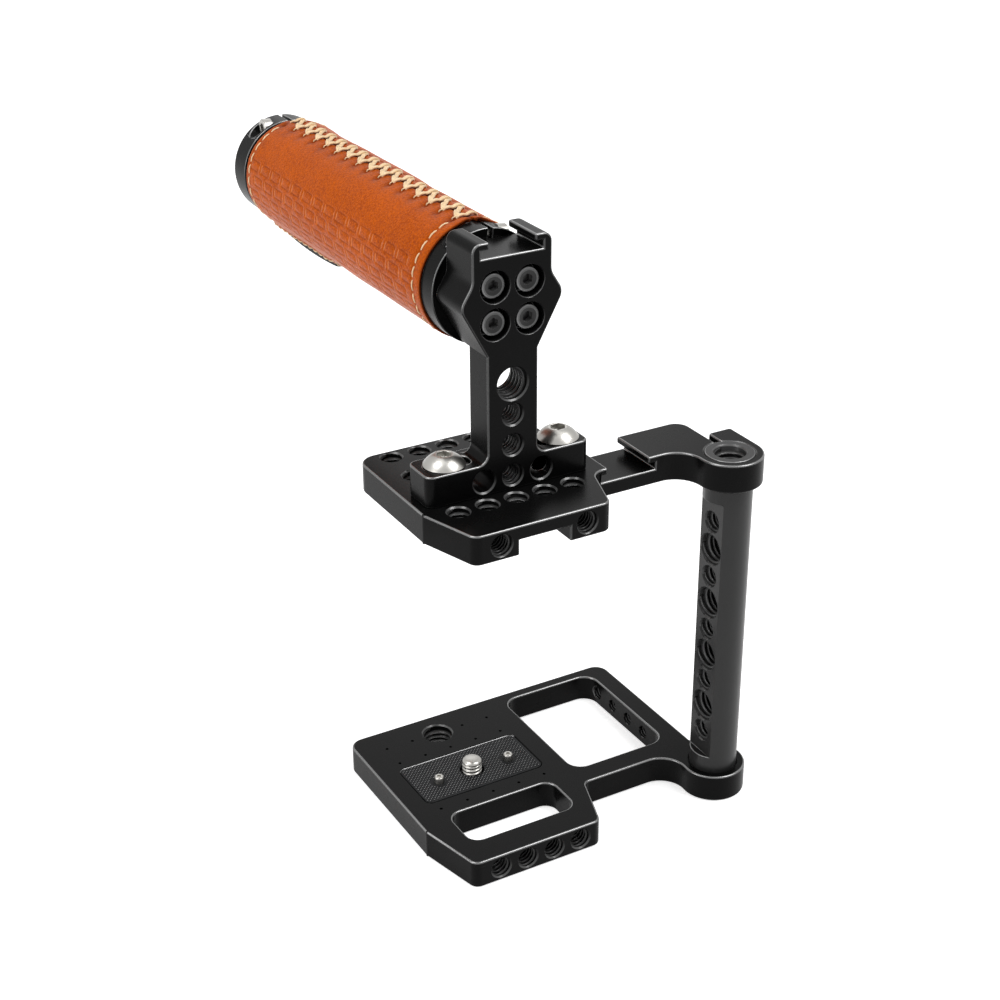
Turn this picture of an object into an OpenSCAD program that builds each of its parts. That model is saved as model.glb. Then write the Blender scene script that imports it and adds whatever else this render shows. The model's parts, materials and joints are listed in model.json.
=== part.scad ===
// Camera cage: base plate, side rod, sliding top plate, handle post and laced leather handle.
// X runs to the side rod, Y runs along the handle, Z is up. Lengths are millimetres.
// Plan sizes are measured from the rod's axis, heights from the plate that carries the piece.

/* [Cage] */
// Rod axis to the left edges of both plates
cage_reach = 97.5; // [92:0.5:110]
// Clear height between the two plates
cage_open = 100; // [60:1:140]
// Thickness of both plates
plate_t = 9; // [8:0.5:12]
// Diameter of the side rod
rod_d = 15; // [15]
// Wall of the two rings that hold the rod
ring_wall = 2.65; // [2:0.05:4]
// Rod axis to the middle column of holes
column_x = 69.5; // [66:0.5:74]
// Distance between neighbouring holes in a row
hole_pitch = 9.25; // [9:0.05:10]

/* [Base plate] */
// Rod axis to the back edge
base_back = 67.2; // [66:0.2:80]
// Rod axis to the front edge
base_front = 9.4; // [9:0.1:14]
// Rod axis to the front right corner
base_right = 48.6; // [46:0.2:49]
// Rod axis to the inner end of the leaning front right edge
base_neck = 42.2; // [42.2:0.1:44]
// Rod axis to the front edge of the arm
base_arm_front = 9.8; // [8:0.1:9.8]
// Width of the arm along the front of the window
base_arm_w = 7.5; // [6:0.1:8]
// Width of the side rail along the right of the window
base_rail_w = 7; // [6:0.1:9]
// Width of the bar along the back of the window
base_back_bar_w = 3.9; // [3:0.1:8]
// Width of the window
window_w = 34.2; // [24:0.2:34.2]
// Corner radius of the window
window_r = 5; // [2:0.5:8]
// Outer corner radius at the back
base_corner_r = 4.6; // [1:0.2:8]
// Height of the cut corner at the front left
base_cut_d = 21.4; // [10:0.2:24]
// Width of the cut corner at the front left
base_cut_w = 5.2; // [2:0.2:8]
// Width of the front slot
slot_w = 36.5; // [20:0.5:37]
// Depth of the front slot
slot_d = 15.6; // [8:0.2:16]
// Bar between the front slot and the front edge
slot_bar_w = 9.9; // [8:0.1:11]
// Corner radius of the front slot
slot_r = 4; // [1:0.2:5]

/* [Camera seat] */
// Width of the rubber pad
pad_w = 41.6; // [34:0.2:42]
// Depth of the rubber pad
pad_d = 20.3; // [16:0.1:21]
// Thickness of the rubber pad
pad_t = 1.5; // [1:0.1:2.5]
// Rod axis to the middle of the rubber pad
pad_y = 34.4; // [34:0.1:36]
// Rod axis to the line of the locating pins
pin_y = 32.7; // [30:0.1:36]
// How far the camera screw stands behind the line of the locating pins
screw_set_back = 1.2; // [0:0.1:2]
// Height of the camera screw's thread above the pad
camera_screw_rise = 4.2; // [3:0.1:6]
// Distance between the two locating pins
pin_spacing = 25; // [20:0.5:28]
// Height of the locating pins above the pad
pin_rise = 2.4; // [1:0.1:4]

/* [Side rod] */
// Depth of the rod's socket in the base
rod_socket = 5; // [3:0.1:5.5]
// Distance from the rod's axis to its flat
rod_flat = 5.25; // [4.5:0.05:6.5]
// Length of the rod's flat
rod_flat_l = 89; // [84:0.5:89]
// Depth of the tapped holes in the flat
rod_hole_depth = 8.5; // [5:0.5:9]

/* [Top plate] */
// Rod axis to the back edge
top_back = 51; // [50.5:0.2:60]
// Rod axis to the front edge
top_front = 10.3; // [9:0.1:14]
// Rod axis to the front right corner
top_right_front = 48.3; // [47:0.2:49]
// Rod axis to the right edge behind the bridge
top_right = 40.1; // [40:0.1:42]
// Outer corner radius at the back
top_corner_r = 5.5; // [1:0.2:8]
// Height of the cut corner at the front left
top_cut_d = 19.2; // [10:0.2:24]
// Width of the cut corner at the front left
top_cut_w = 5.9; // [2:0.2:8]
// Width of the relief channel in the underside
relief_w = 16.3; // [10:0.1:17]
// Height of the relief channel in the underside
relief_h = 4.7; // [2:0.1:5]
// Rod axis to the bridge's front edge
bridge_front = 8.4; // [7:0.1:9]
// Rod axis to the bridge's back edge
bridge_back = 25.6; // [22:0.2:27]
// Rod axis to the left lip of the shoe in the bridge
bridge_shoe_x = 37.3; // [37:0.1:38]
// Rod axis to the back of the clamp's lug
lug_back = 13.9; // [13.6:0.1:16]
// Width of the slit in the clamp
slit_w = 2; // [1:0.1:2.4]

/* [Accessory shoes] */
// Width between the lips
shoe_open = 14.2; // [12.5:0.1:15]
// Width of the floor under the lips
shoe_w = 19.2; // [18.6:0.1:20]
// Thickness of the lips
shoe_lip_t = 2; // [1.5:0.1:2.4]
// Height of the gap under the lips
shoe_gap = 2.3; // [2:0.1:2.5]

/* [Handle post] */
// Rod axis to the middle of the post
post_x = 67.8; // [67:0.1:70]
// Rod axis to the front face of the post
post_front = 10.4; // [10.2:0.1:12]
// Distance of the foot's middle to the left of the post's
foot_shift = 0.8; // [0:0.1:1]
// Length of the foot
foot_w = 52.4; // [52:0.2:56]
// Depth of the foot
foot_d = 12.8; // [12.6:0.1:14]
// Height of the foot
foot_h = 9.6; // [8.5:0.1:12]
// Width of the post
post_w = 16; // [14:0.2:20]
// Depth of the post
post_d = 10.4; // [8:0.1:12]
// Height at which the post widens into the head
post_h = 41.5; // [39:0.5:43]
// Width of the head beside the shoe
head_w = 24.6; // [23.6:0.2:28]
// Width of the head at its belly, before rounding
head_belly_w = 32.4; // [30:0.2:36]
// Height of the belly above the top of the post
head_belly_rise = 15; // [12:0.5:17]
// Height of the shoulder above the top of the post
head_shoulder_rise = 21.2; // [19:0.2:24]
// Height of the head above the top of the post
head_h = 32.4; // [31.5:0.2:40]
// Depth of the head
head_d = 14.8; // [14:0.1:20]
// Distance between the two screws of the foot
foot_screw_spacing = 37; // [36:0.2:38]
// Length of the slots in the foot
foot_slot_l = 14; // [10:0.2:14]

/* [Handle] */
// Height of the handle's axis above the top plate
handle_rise = 55.8; // [54:0.2:60]
// Diameter of the bar inside the handle
bar_d = 22; // [20.5:0.5:23]
// Outer diameter of the leather
leather_d = 34.8; // [34.4:0.2:40]
// Thickness of the leather
leather_t = 1.3; // [1:0.1:1.6]
// Length of the leather
grip_l = 122.2; // [100:0.2:150]
// Bare core between the leather and the end collar
grip_bare = 2.8; // [0.4:0.2:6]
// Outer diameter of the clamp collars
collar_d = 33.4; // [33.4:0.2:36]
// Width of the front clamp collar
near_collar_w = 6.6; // [6.4:0.1:10]
// Width of the end clamp collar
far_collar_w = 8.6; // [6.4:0.1:10]
// Width of the slit in the collars
collar_slit_w = 1.4; // [0.8:0.1:2]
// Length of the rail under the grip
rail_l = 40; // [38:0.5:50]
// Width of the rail under the grip
rail_w = 14; // [12:0.2:15]
// Distance from the handle's axis to the rail's face
rail_face = 19.1; // [19:0.1:22]
// Front of the grip to the middle of the rail
rail_mid = 95.7; // [70:0.1:96]

/* [Hidden] */
$fn = 64;

// Shared values
over = 1;                  // overrun of every cut
fit = 0.05;                // radial running clearance
seat = 0.1;                // clearance of a piece laid in a pocket
part_gap = 0.2;            // gap between pieces that turn past each other
sink = 0.45;               // chamfer at the mouth of a tapped hole
quarter_r = 3.175;         // one quarter inch thread
three_eighth_r = 4.76;     // three eighths inch thread
corner_steps = 8;          // facets in a rounded corner
ring_step = 6;             // degrees to a facet of the ring's outline
edge_r = 1;                // small outer corners
neck_r = 2.4;              // inner corner of the base's neck
top_neck_r = 5;            // inner corner of the top plate's neck
nose_r = 3;                // corners of the front edges
block_r = 4.5;             // back corner of the bridge block

// Levels
rod_r = rod_d / 2;
ring_bore_r = rod_r + fit;
ring_r = ring_bore_r + ring_wall;
base_top = 0;
base_bottom = base_top - plate_t;
top_bottom = base_top + cage_open;
top_top = top_bottom + plate_t;
foot_top = top_top + foot_h;
hole_z = plate_t / 2;

// The handle along Y
head_back = post_front + head_d;
collar_front = head_back + part_gap;
grip_front = collar_front + near_collar_w;
grip_back = grip_front + grip_l + grip_bare;
handle_end = grip_back + far_collar_w;
handle_z = top_top + handle_rise;

// Place of the whole cage: the middle of its foot print, on the ground
frame_x = (cage_reach - ring_r) / 2;
frame_y = (top_front - handle_end) / 2;
frame_z = plate_t;

// Blends from the arms into the rings
ring_blend = 8;
ring_blend_back = 4;

// Fasteners
screw_gap = 0.05;          // under a screw head that turns
m3_r = 1.45;
m3_head_r = 2.75;
m3_head_h = 3;
m3_key = 2.5;
m4_r = 1.95;
m4_hole_r = 2;
m4_clear_r = 2.2;
m4_head_r = 3.6;
m4_head_h = 4;
m4_key = 3;
m4_l = 20;
m6_r = 2.95;
m6_clear_r = 3.3;
m6_head_r = 6;
m6_head_h = 3;
m6_key = 4;
m6_reach = 11;             // length of the base screw inside the rod
key_depth = 1.8;           // depth of the hexagon sockets
tip = 0.5;                 // chamfer at the tip of a thread

// Camera screw
camera_thread_r = quarter_r - fit;
camera_head_r = 6.4;
camera_head_h = 3.6;
camera_recess_r = 7;
camera_recess_h = 4.4;
camera_clear_r = 3.4;
camera_screw_y = pin_y + screw_set_back;
camera_neck_r = 2.6;       // undercut below the thread
camera_key = 4.8;
coin_slot_w = 1.4;
coin_slot_d = 1.2;

// Locating pins
pin_body_r = 1.9;
pin_hole_r = pin_body_r + fit;
pin_l = 10;
pin_key = 1.5;

// Small anti-twist holes, in rows across the base
dot_r = 0.5;
dot_depth = 1.6;
dot_row_inset = 9.7;
dot_row_back = base_back - dot_row_inset;
dot_row_mid = dot_row_back - hole_pitch;
dot_row_front = 20.1;
rail_hole_r = 2;           // tapped holes through the side rail
rail_holes = 4;

// Rows of the top plate
top_row_front = 5.6;
top_row_mid = 32.8;
top_row_inset = 4.1;
top_row_back = top_back - top_row_inset;
top_columns = 5;
front_tap_spacing = 27.4;  // the two holes in the front face
front_tap_depth = 9;

// Foot and head
foot_screw_y = post_front + foot_d / 2;
foot_corner_r = 2.6;
post_fillet = 3;
foot_slot_r = 3.35;
foot_slot_spacing = 35.2;
side_hole_r = 3.4;
button_r = 6.2;
button_h = 3.1;
button_flat_r = 2.6;
button_key = 4;
button_l = 17;
head_screw_spacing = 10.7;
counterbore_r = 4.6;
counterbore_depth = 5;
belly_r = 4;
shoulder_r = 5;
lip_r = 2.6;               // outer corners of the shoe's lips

// Handle
bar_r = bar_d / 2;
bar_tap_depth = 10;
collar_r = collar_d / 2;
collar_bore_r = bar_r + fit;
collar_screw_rise = (collar_r + bar_r) / 2 + seat;
near_head_at = 3.6;        // seat of a collar screw's head, from the slit
far_head_at = 5.3;
collar_screw_reach = 6;    // tip of a collar screw beyond the slit
collar_recess_r = 2.95;
near_collar_turn = 6;      // degrees that the near slit lies off the top
far_collar_turn = 2;
leather_r = leather_d / 2;
core_r = leather_r - leather_t - seat;
core_bore_r = bar_r + fit;
seam_w = 1;
rail_seat = 13.4;          // handle axis to the floor of the rail's pocket
rail_screw_spacing = 30;
rail_screw_gap = 0.4;      // the rail's screws end this far short of the core's bore
rail_screw_l = rail_face - core_bore_r - rail_screw_gap;
rail_corner_r = 2;
near_stud_turn = 38;       // degrees that the stud on the near collar lies off the top
stud_r = 1.2;
stud_rise = 0.9;
opening_edge = 1.2;        // leather kept clear of the rail
clamp_screw_y = 10.7;
clamp_head_depth = 3.1;
clamp_recess_r = 2.95;
clamp_screw_l = 11;

// Lacing
lace_count = 15;
lace_turn = 13.5;          // degrees to each side of the seam
lace_d = 1.1;
lace_end_gap = 3;          // from the grip's ends to the first and last stitch
lace_lift = 0.12;          // of the thread over the leather at its ends
lace_crown = 0.3;          // extra lift over the seam

// Geometry helpers

// A vector of length one
function unit(v) = v / norm(v);

// The arc of radius r that rounds corner p between its neighbours a and b
function corner(a, p, b, r) =
    r == 0 ? [p] :
    let (u = unit(a - p), w = unit(b - p), half = acos(u * w) / 2,
         c = p + unit(u + w) * r / sin(half),
         s = p + u * r / tan(half) - c, e = p + w * r / tan(half) - c,
         from = atan2(s.y, s.x), turn = (atan2(e.y, e.x) - from + 540) % 360 - 180)
    [for (i = [0:corner_steps])
        c + r * [cos(from + turn * i / corner_steps), sin(from + turn * i / corner_steps)]];

// An outline of [x, y, radius] corners, with each corner rounded
function rounded(pts) =
    let (n = len(pts), at = [for (p = pts) [p.x, p.y]])
    [for (i = [0:n - 1]) each corner(at[(i + n - 1) % n], at[i], at[(i + 1) % n], pts[i][2])];

// Points along an arc about c, as sharp corners of an outline
function arc(c, r, from, to) =
    let (n = ceil(abs(to - from) / ring_step))
    [for (i = [0:n]) let (a = from + (to - from) * i / n) [c.x + r * cos(a), c.y + r * sin(a), 0]];

// A rectangle with equal corners, given by two opposite corners
function box_outline(low, high, r) =
    rounded([[low.x, low.y, r], [high.x, low.y, r], [high.x, high.y, r], [low.x, high.y, r]]);

// Front blend: a hollow arc from the arm's front edge at y into the ring
function front_blend(y) =
    let (c = [-sqrt(pow(ring_r + ring_blend, 2) - pow(y - ring_blend, 2)), y - ring_blend],
         a = atan2(-c.y, -c.x))
    concat(arc([0, 0], ring_r, 0, -180 + a), arc(c, ring_blend, a, 90));

// Places of count things in a row about the middle column
function columns(count, pitch) = [for (i = [0:count - 1]) (i - (count - 1) / 2) * pitch];

// Everything is drawn about the rod's axis and set down here in the cage's own frame
module in_frame() translate([frame_x, frame_y, frame_z]) children();

module plate(outline, t) linear_extrude(t) polygon(outline);

// A bore with its mouth at the origin, going down, with a chamfer at the mouth
module bore(r, depth, s = sink) rotate_extrude()
    polygon([[0, -depth], [r, -depth], [r, -s], [r + s, 0], [r + s, over], [0, over]]);

// A bore through a wall of thickness t, with a chamfer at both mouths
module through_bore(r, t, s = sink) rotate_extrude()
    polygon([[0, -t - over], [r + s, -t - over], [r + s, -t], [r, -t + s],
             [r, -s], [r + s, 0], [r + s, over], [0, over]]);

// A threaded shank that hangs down from the origin
module shank(r, l) rotate_extrude()
    polygon([[0, -l], [r - tip, -l], [r, -l + tip], [r, 0], [0, 0]]);

// A hexagon across flats w, hollowed down from the origin
module hex_socket(w, depth) translate([0, 0, -depth])
    cylinder(d = w / cos(30), h = depth + over, $fn = 6);

// A cap screw: its head stands on the origin and its shank hangs down
module cap_screw(r, l, head_r, head_h, key) difference() {
    rotate_extrude() polygon([[0, -l], [r - tip, -l], [r, -l + tip], [r, 0], [head_r, 0],
                              [head_r, head_h - tip / 2], [head_r - tip / 2, head_h], [0, head_h]]);
    translate([0, 0, head_h]) hex_socket(key, key_depth);
}

// A domed screw, the dome being part of a sphere cut flat at its top
module button_screw() {
    drop = (pow(button_r, 2) - pow(button_flat_r, 2) - pow(button_h, 2)) / (2 * button_h);
    sphere_r = norm([button_r, drop]);
    start = atan2(drop, button_r);
    end = atan2(drop + button_h, button_flat_r);
    difference() {
        rotate_extrude() polygon(concat(
            [[0, -button_l], [quarter_r - fit - tip, -button_l], [quarter_r - fit, -button_l + tip],
             [quarter_r - fit, 0]],
            [for (i = [0:corner_steps]) let (a = start + (end - start) * i / corner_steps)
                [sphere_r * cos(a), sphere_r * sin(a) - drop]],
            [[0, button_h]]));
        translate([0, 0, button_h]) hex_socket(button_key, key_depth);
    }
}

// Base

base_neck_pt = [-base_neck, base_arm_front, neck_r];
base_blend_y = sqrt(pow(ring_r + ring_blend_back, 2) - pow(ring_blend_back, 2));
base_outline = concat(
    [[-cage_reach, base_back, base_corner_r], [0, base_back, base_corner_r]],
    arc([ring_blend_back, base_blend_y], ring_blend_back, 180, 180 + atan2(base_blend_y, ring_blend_back)),
    arc([0, 0], ring_r, atan2(base_blend_y, ring_blend_back), 0),
    front_blend(base_arm_front),
    [base_neck_pt, [-base_right, -base_front, nose_r],
     [-cage_reach + base_cut_w, -base_front, nose_r], [-cage_reach, -base_front + base_cut_d, nose_r]]);
window_right = -base_rail_w;
window_front = base_arm_front + base_arm_w;
window_back = base_back - base_back_bar_w;
slot_front = -base_front + slot_bar_w;
pad_corner_r = 2.2;

module base_plate() color([0.16, 0.16, 0.15]) in_frame() difference() {
    translate([0, 0, base_bottom]) plate(rounded(base_outline), plate_t);
    translate([0, 0, base_bottom - over])
        plate(box_outline([window_right - window_w, window_front], [window_right, window_back], window_r),
              plate_t + 2 * over);
    translate([-column_x, slot_front, base_bottom - over])
        plate(box_outline([-slot_w / 2, 0], [slot_w / 2, slot_d], slot_r), plate_t + 2 * over);
    translate([-column_x, pad_y, base_top - pad_t])
        plate(box_outline([-pad_w / 2 - seat, -pad_d / 2 - seat], [pad_w / 2 + seat, pad_d / 2 + seat],
                          pad_corner_r), pad_t + over);
    // Camera screw: clearance hole and a recess for its head
    translate([-column_x, camera_screw_y, base_bottom - over])
        cylinder(r = camera_clear_r, h = plate_t + 2 * over);
    translate([-column_x, camera_screw_y, base_bottom]) mirror([0, 0, 1])
        bore(camera_recess_r, camera_recess_h);
    for (x = [-pin_spacing / 2, pin_spacing / 2])
        translate([-column_x + x, pin_y, base_bottom - over])
            cylinder(r = pin_hole_r, h = plate_t + 2 * over);
    // Tripod thread and the anti-twist holes
    translate([-column_x, dot_row_back, base_top]) through_bore(three_eighth_r, plate_t);
    for (x = columns(top_columns, hole_pitch), y = [dot_row_back, dot_row_mid, dot_row_front])
        if (x != 0 || y != dot_row_back)
            translate([-column_x + x, y, base_top - dot_depth]) cylinder(r = dot_r, h = dot_depth + over);
    // Tapped holes in the front edge and through the side rail
    for (x = columns(rail_holes, hole_pitch))
        translate([-column_x + x, -base_front, base_bottom + hole_z]) rotate([90, 0, 0])
            through_bore(quarter_r, slot_bar_w);
    for (i = [0:rail_holes - 1])
        translate([0, dot_row_back - i * hole_pitch, base_bottom + hole_z])
            rotate([0, 90, 0]) through_bore(rail_hole_r, base_rail_w, sink / 2);
    // Rod socket and its countersunk screw
    translate([0, 0, base_top]) bore(ring_bore_r, rod_socket);
    translate([0, 0, base_bottom]) mirror([0, 0, 1]) rotate_extrude()
        polygon([[0, -plate_t], [m6_clear_r, -plate_t], [m6_clear_r, -m6_head_h - seat],
                 [m6_head_r + seat, -seat], [m6_head_r + seat, over], [0, over]]);
}

module grip_pad() color([0.23, 0.24, 0.25]) in_frame()
    translate([-column_x, 0, base_top - pad_t]) difference() {
        translate([0, pad_y, 0])
            plate(box_outline([-pad_w / 2, -pad_d / 2], [pad_w / 2, pad_d / 2], pad_corner_r), pad_t);
        translate([0, camera_screw_y, -over]) cylinder(r = camera_clear_r + sink, h = pad_t + 2 * over);
        for (x = [-pin_spacing / 2, pin_spacing / 2])
            translate([x, pin_y, -over]) cylinder(r = pin_hole_r + seat, h = pad_t + 2 * over);
    }

// The thread starts just above the pad, over a thinner neck that keeps the screw captive
module camera_screw() color([0.82, 0.8, 0.76]) in_frame()
    translate([-column_x, camera_screw_y, base_bottom + camera_recess_h - screw_gap]) difference() {
        neck_l = plate_t - camera_recess_h + screw_gap + seat;
        rotate_extrude() polygon([[0, -camera_head_h], [camera_head_r, -camera_head_h],
            [camera_head_r, 0], [camera_neck_r, 0], [camera_neck_r, neck_l], [camera_thread_r, neck_l],
            [camera_thread_r, neck_l - seat + camera_screw_rise - tip],
            [camera_thread_r - tip, neck_l - seat + camera_screw_rise],
            [0, neck_l - seat + camera_screw_rise]]);
        translate([0, 0, -camera_head_h]) mirror([0, 0, 1]) hex_socket(camera_key, key_depth);
        translate([-camera_head_r - over, -coin_slot_w / 2, -camera_head_h - over])
            cube([2 * (camera_head_r + over), coin_slot_w, coin_slot_d + over]);
    }

module locating_pin(side) color([0.8, 0.79, 0.76]) in_frame()
    translate([-column_x + side * pin_spacing / 2, pin_y, base_top + pin_rise]) difference() {
        rotate_extrude() polygon([[0, -pin_l], [pin_body_r, -pin_l], [pin_body_r, seat - pin_rise],
                                  [m3_r, seat - pin_rise], [m3_r, -tip], [m3_r - tip, 0], [0, 0]]);
        hex_socket(pin_key, key_depth);
    }
module locating_pin_left() locating_pin(-1);
module locating_pin_right() locating_pin(1);

// Rod

rod_mid = base_top + cage_open / 2;
rod_bottom = base_top - rod_socket + screw_gap;
rod_holes = 9;
rod_tap_depth = 12;

module side_rod() color([0.2, 0.2, 0.2]) in_frame() difference() {
    translate([0, 0, rod_bottom]) cylinder(r = rod_r, h = top_top - rod_bottom);
    translate([-rod_flat - rod_d, -rod_d, rod_mid - rod_flat_l / 2]) cube([rod_d, 2 * rod_d, rod_flat_l]);
    // Tapped holes of two sizes by turns along the flat
    for (i = [0:rod_holes - 1])
        translate([-rod_flat, 0, rod_mid + (i - (rod_holes - 1) / 2) * hole_pitch]) rotate([0, -90, 0])
            bore(i % 2 == 0 ? quarter_r : three_eighth_r, rod_hole_depth);
    translate([0, 0, top_top]) bore(three_eighth_r, rod_tap_depth);
    translate([0, 0, rod_bottom]) mirror([0, 0, 1]) bore(m6_r + fit, m6_reach + over);
}

module rod_base_screw() color([0.3, 0.3, 0.3]) in_frame()
    translate([0, 0, base_bottom]) mirror([0, 0, 1]) difference() {
        rotate_extrude() polygon([[0, -seat], [m6_head_r, -seat], [m6_r, -m6_head_h - seat],
            [m6_r, -plate_t + rod_socket - m6_reach + tip], [m6_r - tip, -plate_t + rod_socket - m6_reach],
            [0, -plate_t + rod_socket - m6_reach]]);
        translate([0, 0, -seat]) hex_socket(m6_key, key_depth);
    }

// Top plate

top_neck_x = base_neck;
top_outline = concat(
    [[-cage_reach, top_back, top_corner_r], [-top_right, top_back, top_corner_r],
     [-top_right, bridge_back, nose_r], [0, bridge_back, block_r], [0, rod_r / 2, 0],
     [slit_w, rod_r / 2, 0], [slit_w, lug_back, edge_r], [ring_r, lug_back, edge_r]],
    front_blend(bridge_front),
    [[-top_neck_x, bridge_front, top_neck_r], [-top_right_front, -top_front, nose_r],
     [-cage_reach + top_cut_w, -top_front, nose_r], [-cage_reach, -top_front + top_cut_d, nose_r]]);
shoe_depth = shoe_lip_t + shoe_gap;
clamp_screw_z = top_bottom + hole_z;

// The hollow of an accessory shoe along Y, open at the top, from the lips' top down
module shoe_hollow(l) {
    translate([-shoe_open / 2, 0, -shoe_depth]) cube([shoe_open, l, shoe_depth + over]);
    translate([-shoe_w / 2, 0, -shoe_depth]) cube([shoe_w, l, shoe_gap]);
}

module top_plate() color([0.15, 0.15, 0.14]) in_frame() difference() {
    translate([0, 0, top_bottom]) plate(rounded(top_outline), plate_t);
    translate([-bridge_shoe_x + shoe_open / 2, bridge_front - top_neck_r, top_top])
        shoe_hollow(bridge_back - bridge_front + top_neck_r + over);
    translate([-column_x - relief_w / 2, -top_front - over, top_bottom - over])
        cube([relief_w, top_front + top_back + 2 * over, relief_h + over]);
    for (x = columns(top_columns, hole_pitch), y = [top_row_front, top_row_mid, top_row_back])
        translate([-column_x + x, y, top_top]) through_bore(quarter_r, plate_t);
    for (x = [-foot_screw_spacing / 2, foot_screw_spacing / 2])
        translate([-post_x + x, foot_screw_y, top_top]) through_bore(quarter_r, plate_t);
    for (x = [-front_tap_spacing / 2, front_tap_spacing / 2])
        translate([-column_x + x, -top_front, top_bottom + hole_z]) rotate([90, 0, 0])
            bore(quarter_r, front_tap_depth);
    // Rod clamp and its screw
    translate([0, 0, top_top]) through_bore(ring_bore_r, plate_t);
    translate([ring_r, clamp_screw_y, clamp_screw_z]) rotate([0, 90, 0]) {
        bore(clamp_recess_r, clamp_head_depth, 0);
        translate([0, 0, -clamp_head_depth - clamp_screw_l - over])
            cylinder(r = m3_r + fit, h = clamp_screw_l + 2 * over);
    }
}

module rod_clamp_screw() color([0.3, 0.3, 0.3]) in_frame()
    translate([ring_r - clamp_head_depth + screw_gap, clamp_screw_y, clamp_screw_z]) rotate([0, 90, 0])
        cap_screw(m3_r, clamp_screw_l, m3_head_r, m3_head_h, m3_key);

// Handle post

head_outline = [
    [-post_w / 2, post_h, 0], [-head_belly_w / 2, post_h + head_belly_rise, belly_r],
    [-head_w / 2, post_h + head_shoulder_rise, shoulder_r], [-head_w / 2, post_h + head_h, lip_r],
    [head_w / 2, post_h + head_h, lip_r], [head_w / 2, post_h + head_shoulder_rise, shoulder_r],
    [head_belly_w / 2, post_h + head_belly_rise, belly_r], [post_w / 2, post_h, 0]];
post_root = post_w / 2 + 2 * post_fillet;
post_outline = [
    [-post_root, 0, 0], [-post_root, foot_h, 0], [-post_w / 2, foot_h, post_fillet],
    [-post_w / 2, post_h + edge_r, 0], [post_w / 2, post_h + edge_r, 0],
    [post_w / 2, foot_h, post_fillet], [post_root, foot_h, 0], [post_root, 0, 0]];

// A slab standing on the top plate, from the front face of the post backwards
module upright(outline, d) translate([0, post_front + d, 0]) rotate([90, 0, 0]) linear_extrude(d)
    polygon(outline);

// The foot's slot for a screw that may stand l / 2 either way along X
module foot_slot() {
    for (x = [-1, 1]) translate([x * (foot_slot_l / 2 - foot_slot_r), 0, -over])
        cylinder(r = foot_slot_r, h = foot_h + 2 * over);
    translate([-foot_slot_l / 2 + foot_slot_r, -foot_slot_r, -over])
        cube([foot_slot_l - 2 * foot_slot_r, 2 * foot_slot_r, foot_h + 2 * over]);
}

module handle_post() color([0.13, 0.13, 0.13]) in_frame() translate([-post_x, 0, top_top]) difference() {
    union() {
        upright(rounded(post_outline), post_d);
        translate([-foot_shift, post_front, 0])
            plate(box_outline([-foot_w / 2, 0], [foot_w / 2, foot_d], foot_corner_r), foot_h);
        upright(rounded(head_outline), head_d);
    }
    for (x = [-1, 1]) {
        translate([x * foot_slot_spacing / 2, foot_screw_y, 0]) foot_slot();
        translate([x * hole_pitch, post_front, hole_z]) rotate([90, 0, 0]) through_bore(side_hole_r, foot_d);
        for (z = [-1, 1])
            translate([x * head_screw_spacing / 2, post_front, handle_rise + z * head_screw_spacing / 2])
                rotate([90, 0, 0]) {
                    bore(counterbore_r, counterbore_depth, sink / 2);
                    translate([0, 0, -head_d - over]) cylinder(r = m4_clear_r, h = head_d + 2 * over);
                }
    }
    translate([0, post_front, hole_z]) rotate([90, 0, 0]) through_bore(quarter_r, foot_d);
    for (i = [1, 2]) translate([0, post_front, hole_z + i * hole_pitch]) rotate([90, 0, 0])
        through_bore(quarter_r, post_d);
    translate([0, post_front, hole_z + 3 * hole_pitch]) rotate([90, 0, 0])
        through_bore(three_eighth_r, post_d);
    translate([0, post_front - over, post_h + head_h]) shoe_hollow(head_d + 2 * over);
}

module post_screw(side) color([0.8, 0.8, 0.78]) in_frame()
    translate([-post_x + side * foot_screw_spacing / 2, foot_screw_y, foot_top + screw_gap]) button_screw();
module post_screw_left() post_screw(-1);
module post_screw_right() post_screw(1);

module head_screws() color([0.33, 0.33, 0.34]) in_frame()
    for (x = [-1, 1], z = [-1, 1])
        translate([-post_x + x * head_screw_spacing / 2, post_front + counterbore_depth,
                   handle_z + z * head_screw_spacing / 2])
            rotate([90, 0, 0]) cap_screw(m4_r, m4_l, m4_head_r, m4_head_h, m4_key);

// Handle

// Draws along Y from y, about the handle's axis: a child's Z points back along the handle
module on_handle(y) translate([-post_x, y, handle_z]) rotate([-90, 0, 0]) children();

module handle_bar() color([0.45, 0.45, 0.46]) in_frame() on_handle(head_back) difference() {
    cylinder(r = bar_r, h = handle_end - head_back - part_gap);
    for (x = [-1, 1], z = [-1, 1])
        translate([x * head_screw_spacing / 2, z * head_screw_spacing / 2, 0]) mirror([0, 0, 1])
            bore(m4_hole_r, m4_l + counterbore_depth - head_d + over, 0);
    translate([0, 0, handle_end - head_back - part_gap]) bore(quarter_r, bar_tap_depth);
}

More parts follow.
